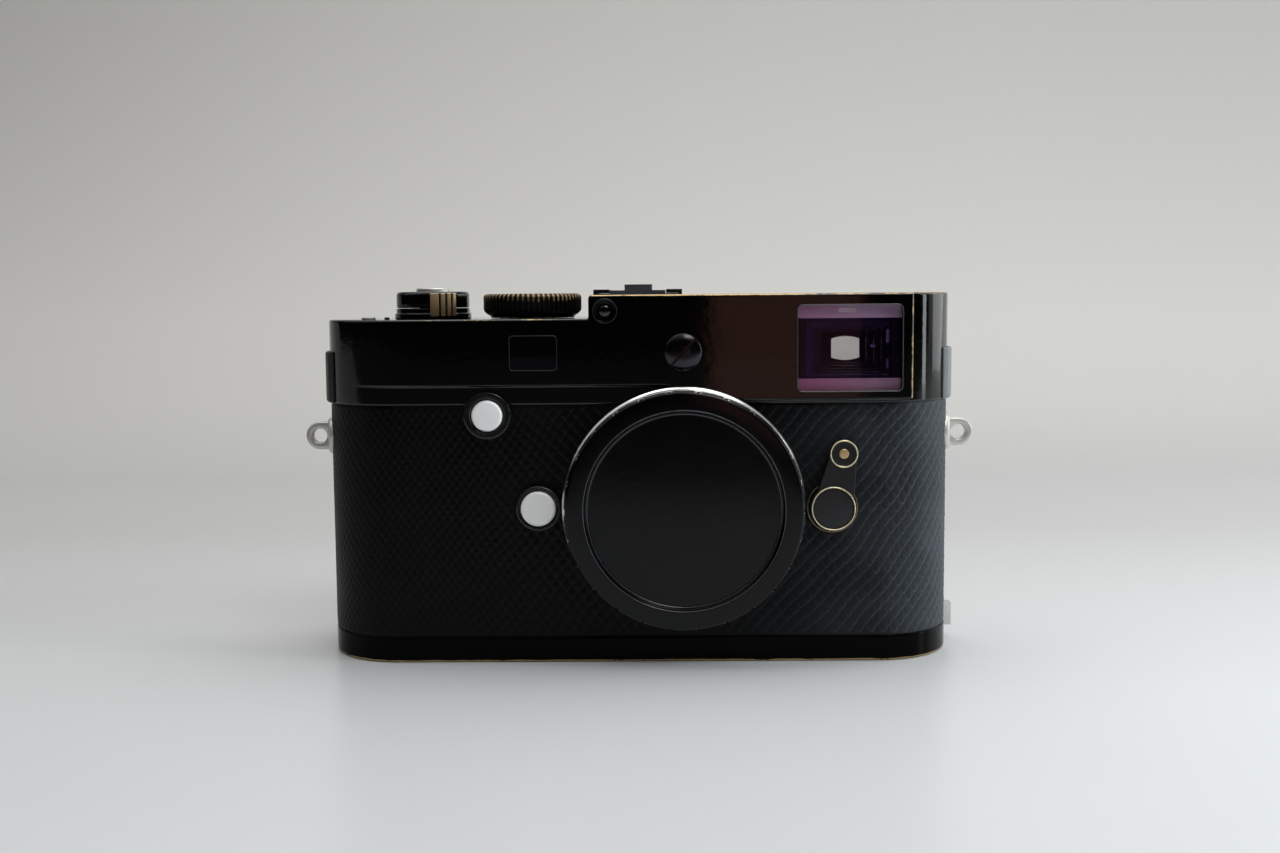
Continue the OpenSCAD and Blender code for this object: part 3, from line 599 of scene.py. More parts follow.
def bulge_outline(xs):
    """Front outline of the proud part of the top cover: points and outward normals."""
    corner, left_r = 0.75, 28.0
    left = -END_X + math.sqrt(2 * BULGE * (left_r - HALF_DEPTH) - BULGE**2)
    touch = -END_X - HALF_DEPTH * (left + END_X) / (left_r - HALF_DEPTH)
    front = -HALF_DEPTH - BULGE
    points, normals = end_normal(xs, -1)
    for i, x in enumerate(xs):
        if touch < x < left:
            inside = math.sqrt(left_r**2 - (x - left) ** 2)
            points[i] = (x, front + left_r - inside)
            normals[i] = ((x - left) / left_r, -inside / left_r)
        elif left <= x <= BULGE_RIGHT - corner:
            points[i] = (x, front)
            normals[i] = (0, -1)
        elif left <= x <= BULGE_RIGHT:
            t = math.sqrt(max(0, corner**2 - (x - BULGE_RIGHT + corner) ** 2))
            points[i] = (x, front + corner - t)
            normals[i] = ((x - BULGE_RIGHT + corner) / corner, -t / corner)
    return points, normals


def ledge_height(x):
    """Lower edge of the proud front: higher left of the lens than right of it."""
    t = np.clip((x - 5) / 13, 0, 1)
    return 60.5 + (57.2 - 60.5) * t * t * (3 - 2 * t)


def cover_levels(deck, inner):
    """Rings of the top cover's skin: front and back points, with a wear value each."""
    xs, top, nx, nz = deck.T
    base, base_n = end_normal(xs, -1)
    proud, proud_n = bulge_outline(xs)
    back, back_n = end_normal(xs, 1)
    ledge = ledge_height(xs)
    bottom = LEATHER_Z[1]
    rows = []
    wear_and_highlight = np.interp(xs, (-52, -44, -14, STEP_X - 0.3, STEP_X, STEP_END, 24, 46, 57, 58.7),
                     (0.45, 0.66, 0.70, 0.50, 0.15, 0.95, 1.0, 0.72, 0.70, 0.95))
    corner = np.interp(xs, (57.9, 58.1, 58.7, 58.74, 58.9), (0, 0.5, 0.74, 0.5, 0))

    def ring(t, z, extra, drop, wear):
        front_p = base * (1 - t) + proud * t
        front_n = base_n * (1 - t) + proud_n * t
        front_n /= np.maximum(1e-6, np.linalg.norm(front_n, axis=1))[:, None]
        pair = []
        for p, n in ((front_p, front_n), (back, back_n)):
            xy = p - n * extra
            pair.append(np.stack([xy[:, 0] - nx * drop, xy[:, 1], z - nz * drop], 1))
        edge = wear * wear_and_highlight if drop or wear > 0.6 else np.full(len(xs), float(wear))
        sides = np.concatenate([np.maximum(edge, corner * (t == 1.0)), edge])
        rows.append((pair[0], pair[1], sides))

    flat = np.ones(len(xs))
    turn = np.where((xs > STEP_START) & (xs < STEP_END))[0]
    even = xs.copy()
    even[turn] = np.linspace(STEP_X - FOOT_R, STEP_X + SHOULDER_R, len(turn))

    def level(t, z, extra, wear):
        ring(t, z, extra, 0, wear)
        for side in rows[-1][:2]:
            side[:, 0] += even - xs

    if inner:
        ring(0, flat * bottom, 1.35, 0, 0)
        ring(0, np.where(xs < STEP_X + 0.3, LOW_DECK, HIGH_DECK) - 1.35, 1.35, 0, 0)
        return rows
    level(0, flat * bottom, 0.25, 0.2)
    level(0, flat * (bottom + 0.07), 0.07, 0.3)
    level(0, flat * (bottom + 0.25), 0, 0)
    level(0, flat * (bottom + 0.40), 0, 0)
    level(0, np.maximum(ledge - 0.50, bottom + 0.45), 0, 0)
    level(0, np.maximum(ledge - 0.35, bottom + 0.5), 0, 0)
    level(0.06, ledge - 0.12, 0, 0)
    level(0.15, ledge, 0, 0)
    level(0.86, ledge, 0, 0.1)
    level(0.95, ledge + 0.04, 0, 0.5)
    level(0.99, ledge + 0.12, 0, 0.5)
    level(1.0, ledge + 0.28, 0, 0.1)
    level(1.0, ledge + 0.43, 0, 0)
    level(1.0, flat * (LOW_DECK - 2.0), 0, 0)
    level(1.0, flat * (LOW_DECK - 1.8), 0, 0)
    for k in range(6):
        a = math.pi / 2 * k / 5
        wear = (0, 0.40, 0.86, 0.98, 0.7, 0.15)[k]
        ring(1.0, top.copy(), RIM * (1 - math.cos(a)), RIM * (1 - math.sin(a)), wear)
    return rows


def shell_grid(rows, closed_top):
    """Points and faces of a skin from its rings, with the deck across front and back."""
    n = len(rows[0][0])
    verts, wears = [], []
    for front, back, wear in rows:
        verts += [tuple(p) for p in front] + [tuple(p) for p in back]
        wears += list(np.zeros(2 * n) + wear)
    faces = []
    for k in range(len(rows) - 1):
        a, b = k * 2 * n, (k + 1) * 2 * n
        for i in range(n - 1):
            faces.append((a + i, a + i + 1, b + i + 1, b + i))
            faces.append((a + n + i + 1, a + n + i, b + n + i, b + n + i + 1))
    if closed_top:
        a = (len(rows) - 1) * 2 * n
        for i in range(n - 1):
            faces.append((a + i, a + i + 1, a + n + i + 1, a + n + i))
    return verts, wears, faces, n


def build_top_cover():
    """Hollow enamelled top cover with its step, bulge, windows, shoe pocket and wheel slot."""
    deck = deck_samples()
    outer = shell_grid(cover_levels(deck, False), True)
    inner = shell_grid(cover_levels(deck, True), True)
    verts, wears, faces = list(outer[0]), list(outer[1]), list(outer[2])
    shift, n = len(verts), outer[3]
    verts += inner[0]
    wears += [0] * len(inner[0])
    faces += [tuple(shift + i for i in reversed(face)) for face in inner[2]]
    for i in range(n - 1):
        faces.append((i, i + 1, shift + i + 1, shift + i))
        faces.append((n + i, n + i + 1, shift + n + i + 1, shift + n + i))
    cover = make_object("top_cover_shell", verts, faces, LOOK["enamel"], wears)
    outside, through, seat = -22, -14, -16.5
    window, finder = box_mm("viewfinder_glass"), box_mm("rangefinder_window")
    cuts = [
        prism_cutter(round_rect(window[0][0] - 0.1, window[1][0] + 0.1, window[0][2] - 0.1,
                                window[1][2] + 0.1, 1.1), "y", outside, through),
        prism_cutter(round_rect(finder[0][0] - 0.08, finder[1][0] + 0.08, finder[0][2] - 0.08,
                                finder[1][2] + 0.08, 0.8), "y", outside, through),
        bar_cutter(LENS_X, outside, seat, LENS_Z, MOUNT_R + 0.12, 160),
    ]
    shoe = box_mm("hot_shoe")
    cuts.append(prism_cutter(
        round_rect(shoe[0][0] - 0.05, shoe[1][0] + 0.05, shoe[0][1] - 0.05, 19, 0.3),
        "z", shoe[0][2], 85))
    eye = middle("eyepiece_ring")
    cuts.append(bar_cutter(eye[0], 12, 20, eye[2], 6.0))
    wheel = middle("thumb_wheel")
    cuts.append(prism_cutter(
        round_rect(wheel[0] - 7.4, wheel[0] + 7.4, wheel[2] - 2.4, wheel[2] + 2.4, 2.3), "y", 12, 22))
    focus = middle("focus_bezel")
    cuts.append(bar_cutter(focus[0], outside, seat, focus[2], 5.22))
    dot = middle("movie_button")
    cuts.append(prism_cutter(circle(dot[0], dot[1], 1.64, 32), "z", 71, 77))
    for cutter in cuts:
        boolean(cover, cutter)
    weighted(cover)
    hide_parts("top_cover")


def build_bottom_cover():
    """Enamelled bottom cover: round-ended tray with a worn lower edge."""
    xs = deck_samples()[:, 0]
    top = base_high[2]
    rows = []
    outside = [(0.9, 0.0, 0.1), (0.45, 0.05, 0.5), (0.18, 0.18, 0.95), (0.05, 0.42, 0.9), (0.0, 0.8, 0.15),
               (0.0, 1.0, 0.0), (0.0, top - 0.7, 0.0), (0.0, top - 0.5, 0.0), (0.06, top - 0.2, 0.3),
               (0.2, top - 0.05, 0.42), (0.4, top, 0.2)]
    inside = [(1.35, top, 0.0), (1.4, 1.45, 0.0)]
    for inset, z, wear in outside + inside:
        rings = []
        for side in (-1, 1):
            p, n = end_normal(xs, side)
            xy = p - n * inset
            rings.append(np.stack([xy[:, 0], xy[:, 1], np.full(len(xs), z)], 1))
        rows.append((rings[0], rings[1], wear))
    verts, wears, faces, n = shell_grid(rows, True)
    for i in range(n - 1):
        faces.append((i, i + 1, n + i + 1, n + i))
    tray = make_object("bottom_cover_tray", verts, faces, LOOK["base_enamel"], wears, "bottom_cover")
    latch = middle("latch_turnlock")[0]
    for x, r in ((0.0, 5.21), (latch, 8.06)):
        boolean(tray, prism_cutter(circle(x, 0, r, 96), "z", -1, 3))
    weighted(tray)
    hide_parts("bottom_cover")


def leather_height(s, z):
    """Height of the embossed diamond scales, 0 to 1, and the painted highlight along the scale ridges, weaker
    on the left.
    """
    left = 1 / (1 + np.exp((s + 28) / 7.0))
    x = s + 0.45 * np.sin(z / 7.0 + s / 31) + 0.22 * np.sin(z / 2.9 + s / 5.1)
    h = z - 31 + 0.5 * np.sin(s / 6.3) + 0.22 * np.sin(s / 2.3 + z / 4.1) + 2.6 * np.tanh((s - 50) / 14) ** 3
    u = x / 2.6 - (1 / 1.75 - 1 / 2.6) * 7.0 * np.log1p(np.exp(-(s + 28) / 7.0))
    v = h / 3.3 * (1 + 0.38 * left)
    p, q = u + v, u - v
    cell_p, cell_q = np.floor(p), np.floor(q)
    wobble = np.sin(cell_p * 12.9898 + cell_q * 78.233) * 43758.5453
    wobble = wobble - np.floor(wobble)
    fp, fq = p - cell_p, q - cell_q
    near = np.stack([fp, 1 - fp, fq, 1 - fq])
    sharpness = 26
    border = -np.log(np.exp(-near * sharpness).sum(0)) / sharpness
    plate = np.clip(border / 0.20, 0, 1)
    plate = plate * plate * (3 - 2 * plate)
    tilt = fq - fp
    height = plate * (0.62 + 0.34 * tilt + 0.16 * (wobble - 0.5))
    # painted highlight along the ridges, stronger where a scale tilts up and weaker on the left
    crest_highlight = np.exp(-(((border - 0.12) / 0.06) ** 2)) * np.clip(0.45 + tilt, 0, 1) * (0.55 + 0.45 * wobble)
    return 1 - (1 - height) * (1 - 0.40 * left), crest_highlight * (1 - 0.55 * left)


def build_leather():
    """Snakeskin covering: a fine grid round the body with embossed scales and real cut-outs."""
    fine = 0.30
    bottom, top = LEATHER_Z
    straight, turn = 2 * END_X, math.pi * HALF_DEPTH
    total = 2 * straight + 2 * turn
    columns = int(total / fine)
    rows = int((top - bottom) / fine)
    s_line = np.linspace(0, total, columns, endpoint=False)
    z_line = np.concatenate([[bottom], np.linspace(bottom + 0.12, top - 0.12, rows), [top]])
    rows = len(z_line)
    px, py, nx, ny = (np.zeros(columns) for _ in range(4))
    for i, s in enumerate(s_line):
        if s < straight:
            px[i], py[i], nx[i], ny[i] = -END_X + s, -HALF_DEPTH, 0, -1
        elif s < straight + turn:
            a = -math.pi / 2 + (s - straight) / HALF_DEPTH
            nx[i], ny[i] = math.cos(a), math.sin(a)
            px[i], py[i] = END_X + HALF_DEPTH * nx[i], HALF_DEPTH * ny[i]
        elif s < 2 * straight + turn:
            px[i], py[i], nx[i], ny[i] = END_X - (s - straight - turn), HALF_DEPTH, 0, 1
        else:
            a = math.pi / 2 + (s - 2 * straight - turn) / HALF_DEPTH
            nx[i], ny[i] = math.cos(a), math.sin(a)
            px[i], py[i] = -END_X + HALF_DEPTH * nx[i], HALF_DEPTH * ny[i]
    travel = s_line - END_X
    travel = np.where(travel > total / 2, travel - total, travel)
    around, skin_z = np.meshgrid(travel, z_line)
    height, crest_highlight = leather_height(around, skin_z)
    edge = np.clip(np.minimum(skin_z - bottom, top - skin_z) / 0.9, 0, 1)
    relief, tuck = 0.25, 0.30
    height = (height - 1.0) * relief * edge - tuck * (1 - edge) ** 2
    skin_x = px[None, :] + nx[None, :] * height
    skin_y = py[None, :] + ny[None, :] * height
    verts = np.stack([skin_x, skin_y, skin_z], 2).reshape(-1, 3)

    index = np.arange(rows * columns).reshape(rows, columns)
    quads = np.stack([index[:-1], np.roll(index, -1, 1)[:-1], np.roll(index, -1, 1)[1:], index[1:]], 2)
    centre_x = (px + np.roll(px, -1)) / 2
    centre_x = np.where(np.abs(np.roll(px, -1) - px) > 5, px, centre_x)
    quad_x = np.broadcast_to(centre_x, (rows - 1, columns))
    quad_y = np.broadcast_to(py, (rows - 1, columns))
    quad_z = np.broadcast_to(((z_line[1:] + z_line[:-1]) / 2)[:, None], (rows - 1, columns))
    gone = np.zeros(quad_x.shape, bool)
    front, rear = quad_y < -10, quad_y > 10
    for node, r in (("lens_mount_ring", MOUNT_R - 0.5), ("lens_release_bezel", 4.6),
                    ("focus_bezel", 4.8), ("selector_collar", 5.0)):
        c = middle(node)
        gone |= front & ((quad_x - c[0]) ** 2 + (quad_z - c[2]) ** 2 < r * r)
    low, high = box_mm("display_bezel")
    lap = 0.4
    gone |= (rear & (quad_x > low[0] + lap) & (quad_x < high[0] - lap)
             & (quad_z > low[2] + lap) & (quad_z < high[2] - lap))
    pad = middle("direction_pad")
    gone |= rear & ((quad_x - pad[0]) ** 2 + (quad_z - pad[2]) ** 2 < 9.2**2)
    hook = middle("hook_post")
    gone |= (quad_x > 60) & (np.abs(quad_y - hook[1]) < 2.4) & (quad_z < 9.0)
    faces = quads[~gone]
    mesh = bpy.data.meshes.new("leather_skin")
    mesh.from_pydata((verts * MM).tolist(), [], faces.tolist())
    # this point attribute carries the painted highlight of the scale ridges
    layer = mesh.attributes.new("crest_highlight", "FLOAT", "POINT")
    layer.data.foreach_set("value", (crest_highlight * edge).astype(np.float32).ravel())
    for polygon in mesh.polygons:
        polygon.use_smooth = True
    obj = link_object("leather_skin", mesh)
    mesh.materials.append(LOOK["leather"])
    work = bmesh.new()
    work.from_mesh(mesh)
    loose = [v for v in work.verts if not v.link_faces]
    bmesh.ops.delete(work, geom=loose, context="VERTS")
    work.to_mesh(mesh)
    work.free()
    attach(obj, "camera_body")
    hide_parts("leather_covering")


# ---- pieces that stand for CAD nodes ----

SLOTS = {
    "black_enamel": ("top_cover", "bottom_cover"),
    "black_metal": ("eyepiece_ring", "speed_dial", "release_collar", "power_switch", "shutter_button",
                    "lens_release_bezel", "focus_bezel", "selector_collar", "selector_lever",
                    "thumb_wheel"),
    "bright_steel": ("cover_screw", "lens_mount_ring", "lens_release_button", "focus_button",
                     "latch_turnlock", "latch_toggle", "hook_post"),
    "satin_steel": ("light_sensor", "mount_screws", "strap_lugs", "tripod_socket", "hot_shoe"),
    "cap_plastic": ("body_cap",),
    "matte_black": ("viewfinder_mask", "display_bezel", "hot_shoe_cover", "mount_throat"),
    "gloss_black": ("movie_button", "live_view_button", "play_button", "delete_button", "iso_button",
                    "menu_button", "set_button", "direction_pad", "centre_button"),
    "dark_glass": ("rangefinder_window", "display_glass"),
    "rubber_black": ("side_pads",),
    "leather": ("leather_covering",),
}


def stand_for(obj, node):
    """The piece is shown instead of a CAD node, which it hides."""
    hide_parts(node)
    return obj


def wire(name, outline, plane, level, radius, material, body="camera_body", wear=0.0):
    """Thin round bead that follows a closed outline in a plane."""
    outline = np.array(outline, float)
    side = outline_normals(outline)[0]
    verts, steps = [], 8
    for k in range(steps):
        a = 2 * math.pi * k / steps
        verts += set_out(outline + side * radius * math.cos(a), plane, level + radius * math.sin(a))
    faces = band_faces(steps, len(outline), True)
    return make_object(name, verts, faces, material, [wear] * len(verts), body, 80)


def open_slab(name, outer, inner, plane, low, high, bevel, material, body="camera_body", wear_edges=0.5):
    """Flat frame between two outlines with the same number of points."""
    rings = []
    lines = []
    for line, out in ((np.array(outer, float), 1), (np.array(inner, float), -1)):
        lines.append((line, outline_normals(line)[0] * out))
    b = bevel
    for which, steps in ((0, ((b, low), (0.3 * b, low + 0.3 * b), (0, low + b), (0, high - b),
                              (0.3 * b, high - 0.3 * b), (b, high))),
                         (1, ((b, high), (0.3 * b, high - 0.3 * b), (0, high - b), (0, low + b),
                              (0.3 * b, low + 0.3 * b), (b, low)))):
        line, inward = lines[which]
        for k, (inset, h) in enumerate(steps):
            rings.append((line + inward * inset, h, wear_edges if k in (1, 4) else 0))
    verts, wears = [], []
    for ring, h, wear in rings:
        verts += set_out(ring, plane, h)
        wears += [wear] * len(ring)
    faces = band_faces(len(rings), len(outer), True)
    return weighted(make_object(name, verts, faces, material, wears, body, 50))


def two_circles(first, r1, second, r2, steps=24):
    """Outline round two circles."""
    first, second = np.array(first, float), np.array(second, float)
    line = second - first
    length = np.linalg.norm(line)
    along = math.degrees(math.atan2(line[1], line[0]))
    lean = math.degrees(math.acos((r1 - r2) / length))
    return (arc(second, r2, along - lean, along + lean, steps)
            + arc(first, r1, along + lean, along + 360 - lean, steps))


def ring_line(name, x, across, axis, radius, level, thick, material, body, wear=0.0):
    """Thin bead round a turned piece."""
    return wire(name, circle(x, across, radius, 120), axis, level, thick, material, body, wear)


def build_cap():
    """Body cap: gloss disc with a sunk centre, two grey edge lines painted as highlights, and a scalloped rim
    with painted highlights on its lands.
    """
    body = "body_cap"

    # the lands between the scallops get pale marks through the wear value: painted highlights on the rim's
    # chamfer
    def scallops(a, r, h):
        if r < 25.2 or h > -21.2:
            return 0, 0
        notch = max(0, math.cos(26 * a)) ** 6
        return -0.20 * notch, 0.45 * (1 - abs(2 * notch - 1)) * (h < -23.6)

    profile = [
        (0, -23.36), (19.9, -23.40, 0.2), (20.45, -23.40, 0.1), (20.75, -23.62, 0.12, 0.3),
        (20.95, -23.62, 0.1), (21.35, -24.34, 0.12, 0.35), (21.6, -24.40, 0.1),
        (24.95, -24.40, 0.25, 0.1), (25.55, -23.85, 0.3, 0.4), (25.55, -20.7, 0.2),
        (25.2, -20.38, 0.1), (0, -20.38),
    ]
    cap = lathe("cap_shell", LENS_X, LENS_Z, "y", profile, LOOK["cap"], body, 624, scallops)
    stand_for(cap, "body_cap")
    # grey bead lines at the two step edges are painted highlights
    for radius, level, thick in ((20.62, -23.50, 0.05), (21.42, -24.36, 0.05)):
        line = ring_line("cap_line", LENS_X, LENS_Z, "y", radius, level, thick, LOOK["dim_line"], body)
        line.name = "cap_line_" + str(int(radius))


def build_mount():
    """Bright bayonet flange with its inner lugs and countersunk screws."""
    profile = [(21.9, -20.15), (22.05, -20.2, 0.1), (25.6, -20.2, 0.1), (26.2, -19.6, 0.25),
               (26.2, -16.6, 0.2), (26.0, -16.5), (21.9, -16.5), (21.9, -20.15)]
    ring = lathe("mount_flange", LENS_X, LENS_Z, "y", profile, LOOK["steel"], "camera_body", 256)
    stand_for(ring, "lens_mount_ring")
    for i in range(3):
        turn = 120 * i
        outline = [(LENS_X + x, LENS_Z + z) for x, z in
                   arc((0, 0), 21.95, turn - 26, turn + 26, 24) + arc((0, 0), 20.5, turn + 26, turn - 26, 24)]
        lug = slab("mount_lug_" + str(i), outline, "y", -19.1, -18.1, 0.15, LOOK["steel"])
    for i in range(4):
        a = math.radians(45 + 90 * i)
        x, z = LENS_X + 24 * math.cos(a), LENS_Z + 24 * math.sin(a)
        head = [(0, -19.75), (0.45, -19.75), (0.45, -20.05), (1.25, -20.12, 0.08),
                (1.5, -19.9, 0.08), (1.5, -19.5), (0, -19.5)]
        screw = lathe("mount_screw_" + str(i), x, z, "y", head, LOOK["satin"], "camera_body", 40)
        if i == 0:
            stand_for(screw, "mount_screws")


def build_round_button(node, bezel_node, bezel_r, button_r, face, rim, stem_end):
    """Silver push button in a black bezel with a thin inner line."""
    x, _, z = middle(bezel_node)
    bore = button_r + 0.12
    ring = [(bore, FRONT_SEAT), (bore, rim + 0.42, 0.05), (bore + 0.3, rim + 0.35, 0.08, 0.5),
            (bore + 0.42, rim + 0.1, 0.05, 0.2), (bore + 0.5, rim, 0.08, 0.2),
            (bezel_r - 0.3, rim, 0.18, 0.15), (bezel_r, rim + 0.35, 0.15, 0.45),
            (bezel_r, FRONT_SEAT), (bore, FRONT_SEAT)]
    bezel = lathe(bezel_node + "_turned", x, z, "y", ring, LOOK["rim_metal"], "camera_body", 128)
    stand_for(bezel, bezel_node)
    disc = [(0, face), (button_r - 0.45, face, 0.12), (button_r - 0.12, face + 0.18, 0.12),
            (button_r, face + 0.5, 0.1), (button_r, face + 1.25), (1.15, face + 1.25),
            (1.15, stem_end), (0, stem_end)]
    button = lathe(node + "_turned", x, z, "y", disc, LOOK["silver"], node, 128)
    stand_for(button, node)


def build_selector():
    """Frame selector: worn collar, dark disc with a gold bead, tapered arm and cupped tip."""
    x, _, z = middle("selector_collar")
    high = box_mm("selector_lever")[1]
    tip = (x + 2.2, high[2] - 3.06)
    base = [(1.6, FRONT_SEAT), (1.6, -17.9), (5.0, -17.95, 0.05), (5.1, -18.2, 0.06, 0.55),
            (5.35, -18.2, 0.1, 0.66), (5.5, -17.95, 0.1, 0.62), (5.5, FRONT_SEAT), (1.6, FRONT_SEAT)]
    stand_for(lathe("selector_collar_turned", x, z, "y", base, LOOK["rim_metal"], "camera_body", 128),
              "selector_collar")
    body = "selector_lever"
    disc = [(0, -20.28), (4.18, -20.28, 0.05), (4.24, -20.1, 0.03), (4.34, -20.1, 0.03),
            (4.38, -20.30, 0.05, 0.4), (4.44, -20.36, 0.05, 0.4), (4.68, -20.36, 0.05, 0.4),
            (4.8, -20.3, 0.05, 0.4), (4.88, -20.1, 0.1, 0.2), (4.88, -18.35), (0, -18.35)]
    hub = lathe("selector_hub", x, z, "y", disc, LOOK["lever_rim"], body, 128)
    stand_for(hub, "selector_lever")
    for radius, level, thick, finish in ((4.56, -20.36, 0.15, "gold_line"),
                                         (5.34, -18.14, 0.10, "bronze_line")):
        owner = body if radius < 5 else "camera_body"
        bead = ring_line("selector_bead_" + finish, x, z, "y", radius, level, thick, LOOK[finish], owner)
    bead = ring_line("selector_tip_bead", tip[0], tip[1], "y", 2.82, -20.02, 0.17, LOOK["gold_line"], body)
    arm = slab("selector_arm", two_circles((x, z), 4.3, tip, 2.8), "y", -19.9, -18.4, 0.22, LOOK["lever"],
               body, 0.3)
    cup = [(0, -19.15), (2.2, -19.15, 0.1), (2.34, -19.9, 0.08, 0.3), (2.46, -20.0, 0.06, 0.4),
           (2.8, -20.05, 0.08, 0.4), (3.02, -19.9, 0.1, 0.4), (3.06, -19.5, 0.05, 0.2),
           (3.06, -18.4), (0, -18.4)]
    lathe("selector_tip", tip[0], tip[1], "y", cup, LOOK["lever_rim"], body, 96)
    stud = [(0, -20.22), (0.9, -20.22, 0.12), (1.08, -20.0, 0.1), (1.08, -19.0), (0, -19.0)]
    lathe("selector_stud", tip[0], tip[1], "y", stud, LOOK["brass"], body, 64)
    collar_ring = [(1.2, -19.1), (1.2, -19.5, 0.05), (1.6, -19.62, 0.08, 0.4), (1.75, -19.1)]
    step = lathe("selector_step", tip[0], tip[1], "y", collar_ring, LOOK["lever_rim"], body, 64)


def engrave(name, text, size, place, turn, material, body):
    """Flat filled characters just proud of a top face; place in millimetres."""
    curve = bpy.data.curves.new(name, "FONT")
    curve.body = text
    curve.size = size * MM
    curve.align_x = "CENTER"
    curve.align_y = "CENTER"
    curve.extrude = 0.012 * MM
    curve.resolution_u = 3
    temp = link_object(name, curve)
    bpy.context.view_layer.update()
    mesh = bpy.data.meshes.new_from_object(temp)
    bpy.data.objects.remove(temp)
    mesh.transform(Matrix.Translation(Vector(place) * MM) @ Matrix.Rotation(turn, 4, "Z"))
    mesh.materials.clear()
    return add_mesh(name, mesh, material, body)


def build_speed_dial():
    """Shutter-speed dial with a fine toothed rim, worn at the tooth tops, and its numbers."""
    x, y, _ = middle("speed_dial")
    body = "speed_dial"

    def teeth(a, r, h):
        if r < 10.2 or h < 75.6:
            return 0, 0
        wave = math.cos(60 * a)
        dip = max(0.0, min(1.0, 0.5 - 0.9 * wave))
        height = min(1, max(0, (h - 77.8) / 1.6))
        return -0.50 * dip, (1 - dip) * (0.35 + 0.65 * height) * 0.85

    profile = [(9.4, 74.8), (9.4, 75.1, 0.1), (10.3, 75.7, 0.15), (10.9, 76.3, 0.2),
               (11.0, 76.8, 0.1), (11.0, 77.9, 0.1, 0.02), (11.0, 78.4, 0, 0.05),
               (11.0, 78.9, 0, 0.08), (11.0, 79.4, 0.1, 0.12),
               (10.8, 79.85, 0.2, 0.15), (10.2, 80.1, 0.1), (9.95, 80.1, 0.05, 0.3), (9.8, 80.0, 0.05),
               (9.65, 80.08, 0.05), (6.0, 80.08), (3.6, 80.08, 0.05, 0.2), (3.4, 79.9, 0.05),
               (3.1, 79.9, 0.05), (2.9, 80.08, 0.1, 0.2), (0, 80.1)]
    dial = lathe("speed_dial_turned", x, y, "z", profile, LOOK["dial_metal"], body, 720, teeth)
    stand_for(dial, "speed_dial")
    numbers = ["B", "8", "4", "2", "1", "2", "4", "8", "15", "30", "60", "125", "250", "500", "1000", "2000",
               "4000", "A"]
    for i, number in enumerate(numbers):
        a = 2 * math.pi * i / len(numbers) - math.pi / 2
        r = 7.9 if len(number) < 3 else 7.5
        place = (x + r * math.cos(a), y + r * math.sin(a), 80.085)
        size = 1.7 if len(number) < 3 else 1.25
        turn = a + math.pi / 2 if len(number) < 3 else a
        label = engrave("dial_number_" + str(i), number, size, place, turn, LOOK["white_mark"], body)


def build_grip(x, y):
    """Brass-worn finger grip of the power switch: a curved tab with three grooves."""
    centre, half, inner = -66, 19, 8.6
    outline = []
    for d in np.linspace(-half, half, 115):
        groove = max(1 - min(1, abs(d - g) / 2.0) for g in (-5.5, 4.0, 12.5))
        radius = 8.97 - 0.30 * min(1, 1.5 * groove)
        a = math.radians(centre + d)
        outline.append((x + radius * math.cos(a), y + radius * math.sin(a)))
    outline += arc((x, y), inner, centre + half, centre - half, 24)
    tab = slab("switch_grip", outline, "z", 75.35, 80.3, 0.1, LOOK["grip_brass"], "power_switch", 0.9)
    for vertex, item in zip(tab.data.vertices, tab.data.attributes["wear"].data):
        reach = math.hypot(vertex.co.x / MM - x, vertex.co.y / MM - y)
        item.value = min(1, max(0, (reach - 8.72) / 0.15))


def build_release():
    """Release collar, power switch, shutter button, movie button and the stud beside it."""
    x, y, _ = middle("release_collar")
    low = [(5.2, 74.72), (8.5, 74.72, 0.1), (8.55, 75.0, 0.1, 0.2), (8.55, 75.8, 0.1, 0.35),
           (8.2, 76.0, 0.1), (8.2, 76.95, 0.1, 0.1), (7.9, 77.05), (5.2, 77.05),
           (5.2, 74.72)]
    collar = lathe("release_collar_turned", x, y, "z", low, LOOK["enamel"], "camera_body", 160)
    stand_for(collar, "release_collar")
    body = "power_switch"
    drum = [(3.75, 77.15), (7.9, 77.15, 0.1), (8.15, 77.35, 0.1), (8.15, 78.4),
            (8.15, 79.4), (8.15, 80.1, 0.25), (7.75, 80.62, 0.2, 0.45), (7.4, 80.7, 0.1, 0.1),
            (4.3, 80.7, 0.1), (3.75, 80.55, 0.1), (3.75, 77.15)]
    stand_for(lathe("power_switch_turned", x, y, "z", drum, LOOK["enamel"], body, 160), "power_switch")
    build_grip(x, y)
    top = [(0, 80.9), (1.3, 80.9, 0.05), (1.5, 81.45, 0.1, 0.3), (1.8, 81.6, 0.1, 0.2), (2.6, 81.5, 0.1),
           (3.45, 81.55, 0.12, 0.35), (3.65, 81.3, 0.1, 0.2), (3.65, 77.2), (0, 77.2)]
    button = lathe("shutter_button_turned", x, y, "z", top, LOOK["lug"], "shutter_button", 96)
    stand_for(button, "shutter_button")
    mx, my, _ = middle("movie_button")
    spot = [(0, 75.12), (1.2, 75.12, 0.12), (1.58, 74.95, 0.1), (1.58, 73.5), (0, 73.5)]
    stand_for(lathe("movie_button_turned", mx, my, "z", spot, LOOK["dull_steel"], "movie_button", 48),
              "movie_button")
    dot = [(0, 75.1), (0.45, 75.1, 0.1), (0.6, 74.9), (0.6, 74.0), (0, 74.0)]
    lathe("deck_stud", mx + 4.1, my, "z", dot, LOOK["gloss"], "camera_body", 32)


def slot_corners(x, z, half_length, half_width):
    """Corners of the screw's slanted slot."""
    turn = math.radians(47)
    corners = []
    for u, v in ((-1, -1), (1, -1), (1, 1), (-1, 1)):
        along, off = u * half_length, v * half_width
        corners.append((x + along * math.cos(turn) - off * math.sin(turn),
                        z + along * math.sin(turn) + off * math.cos(turn)))
    return corners


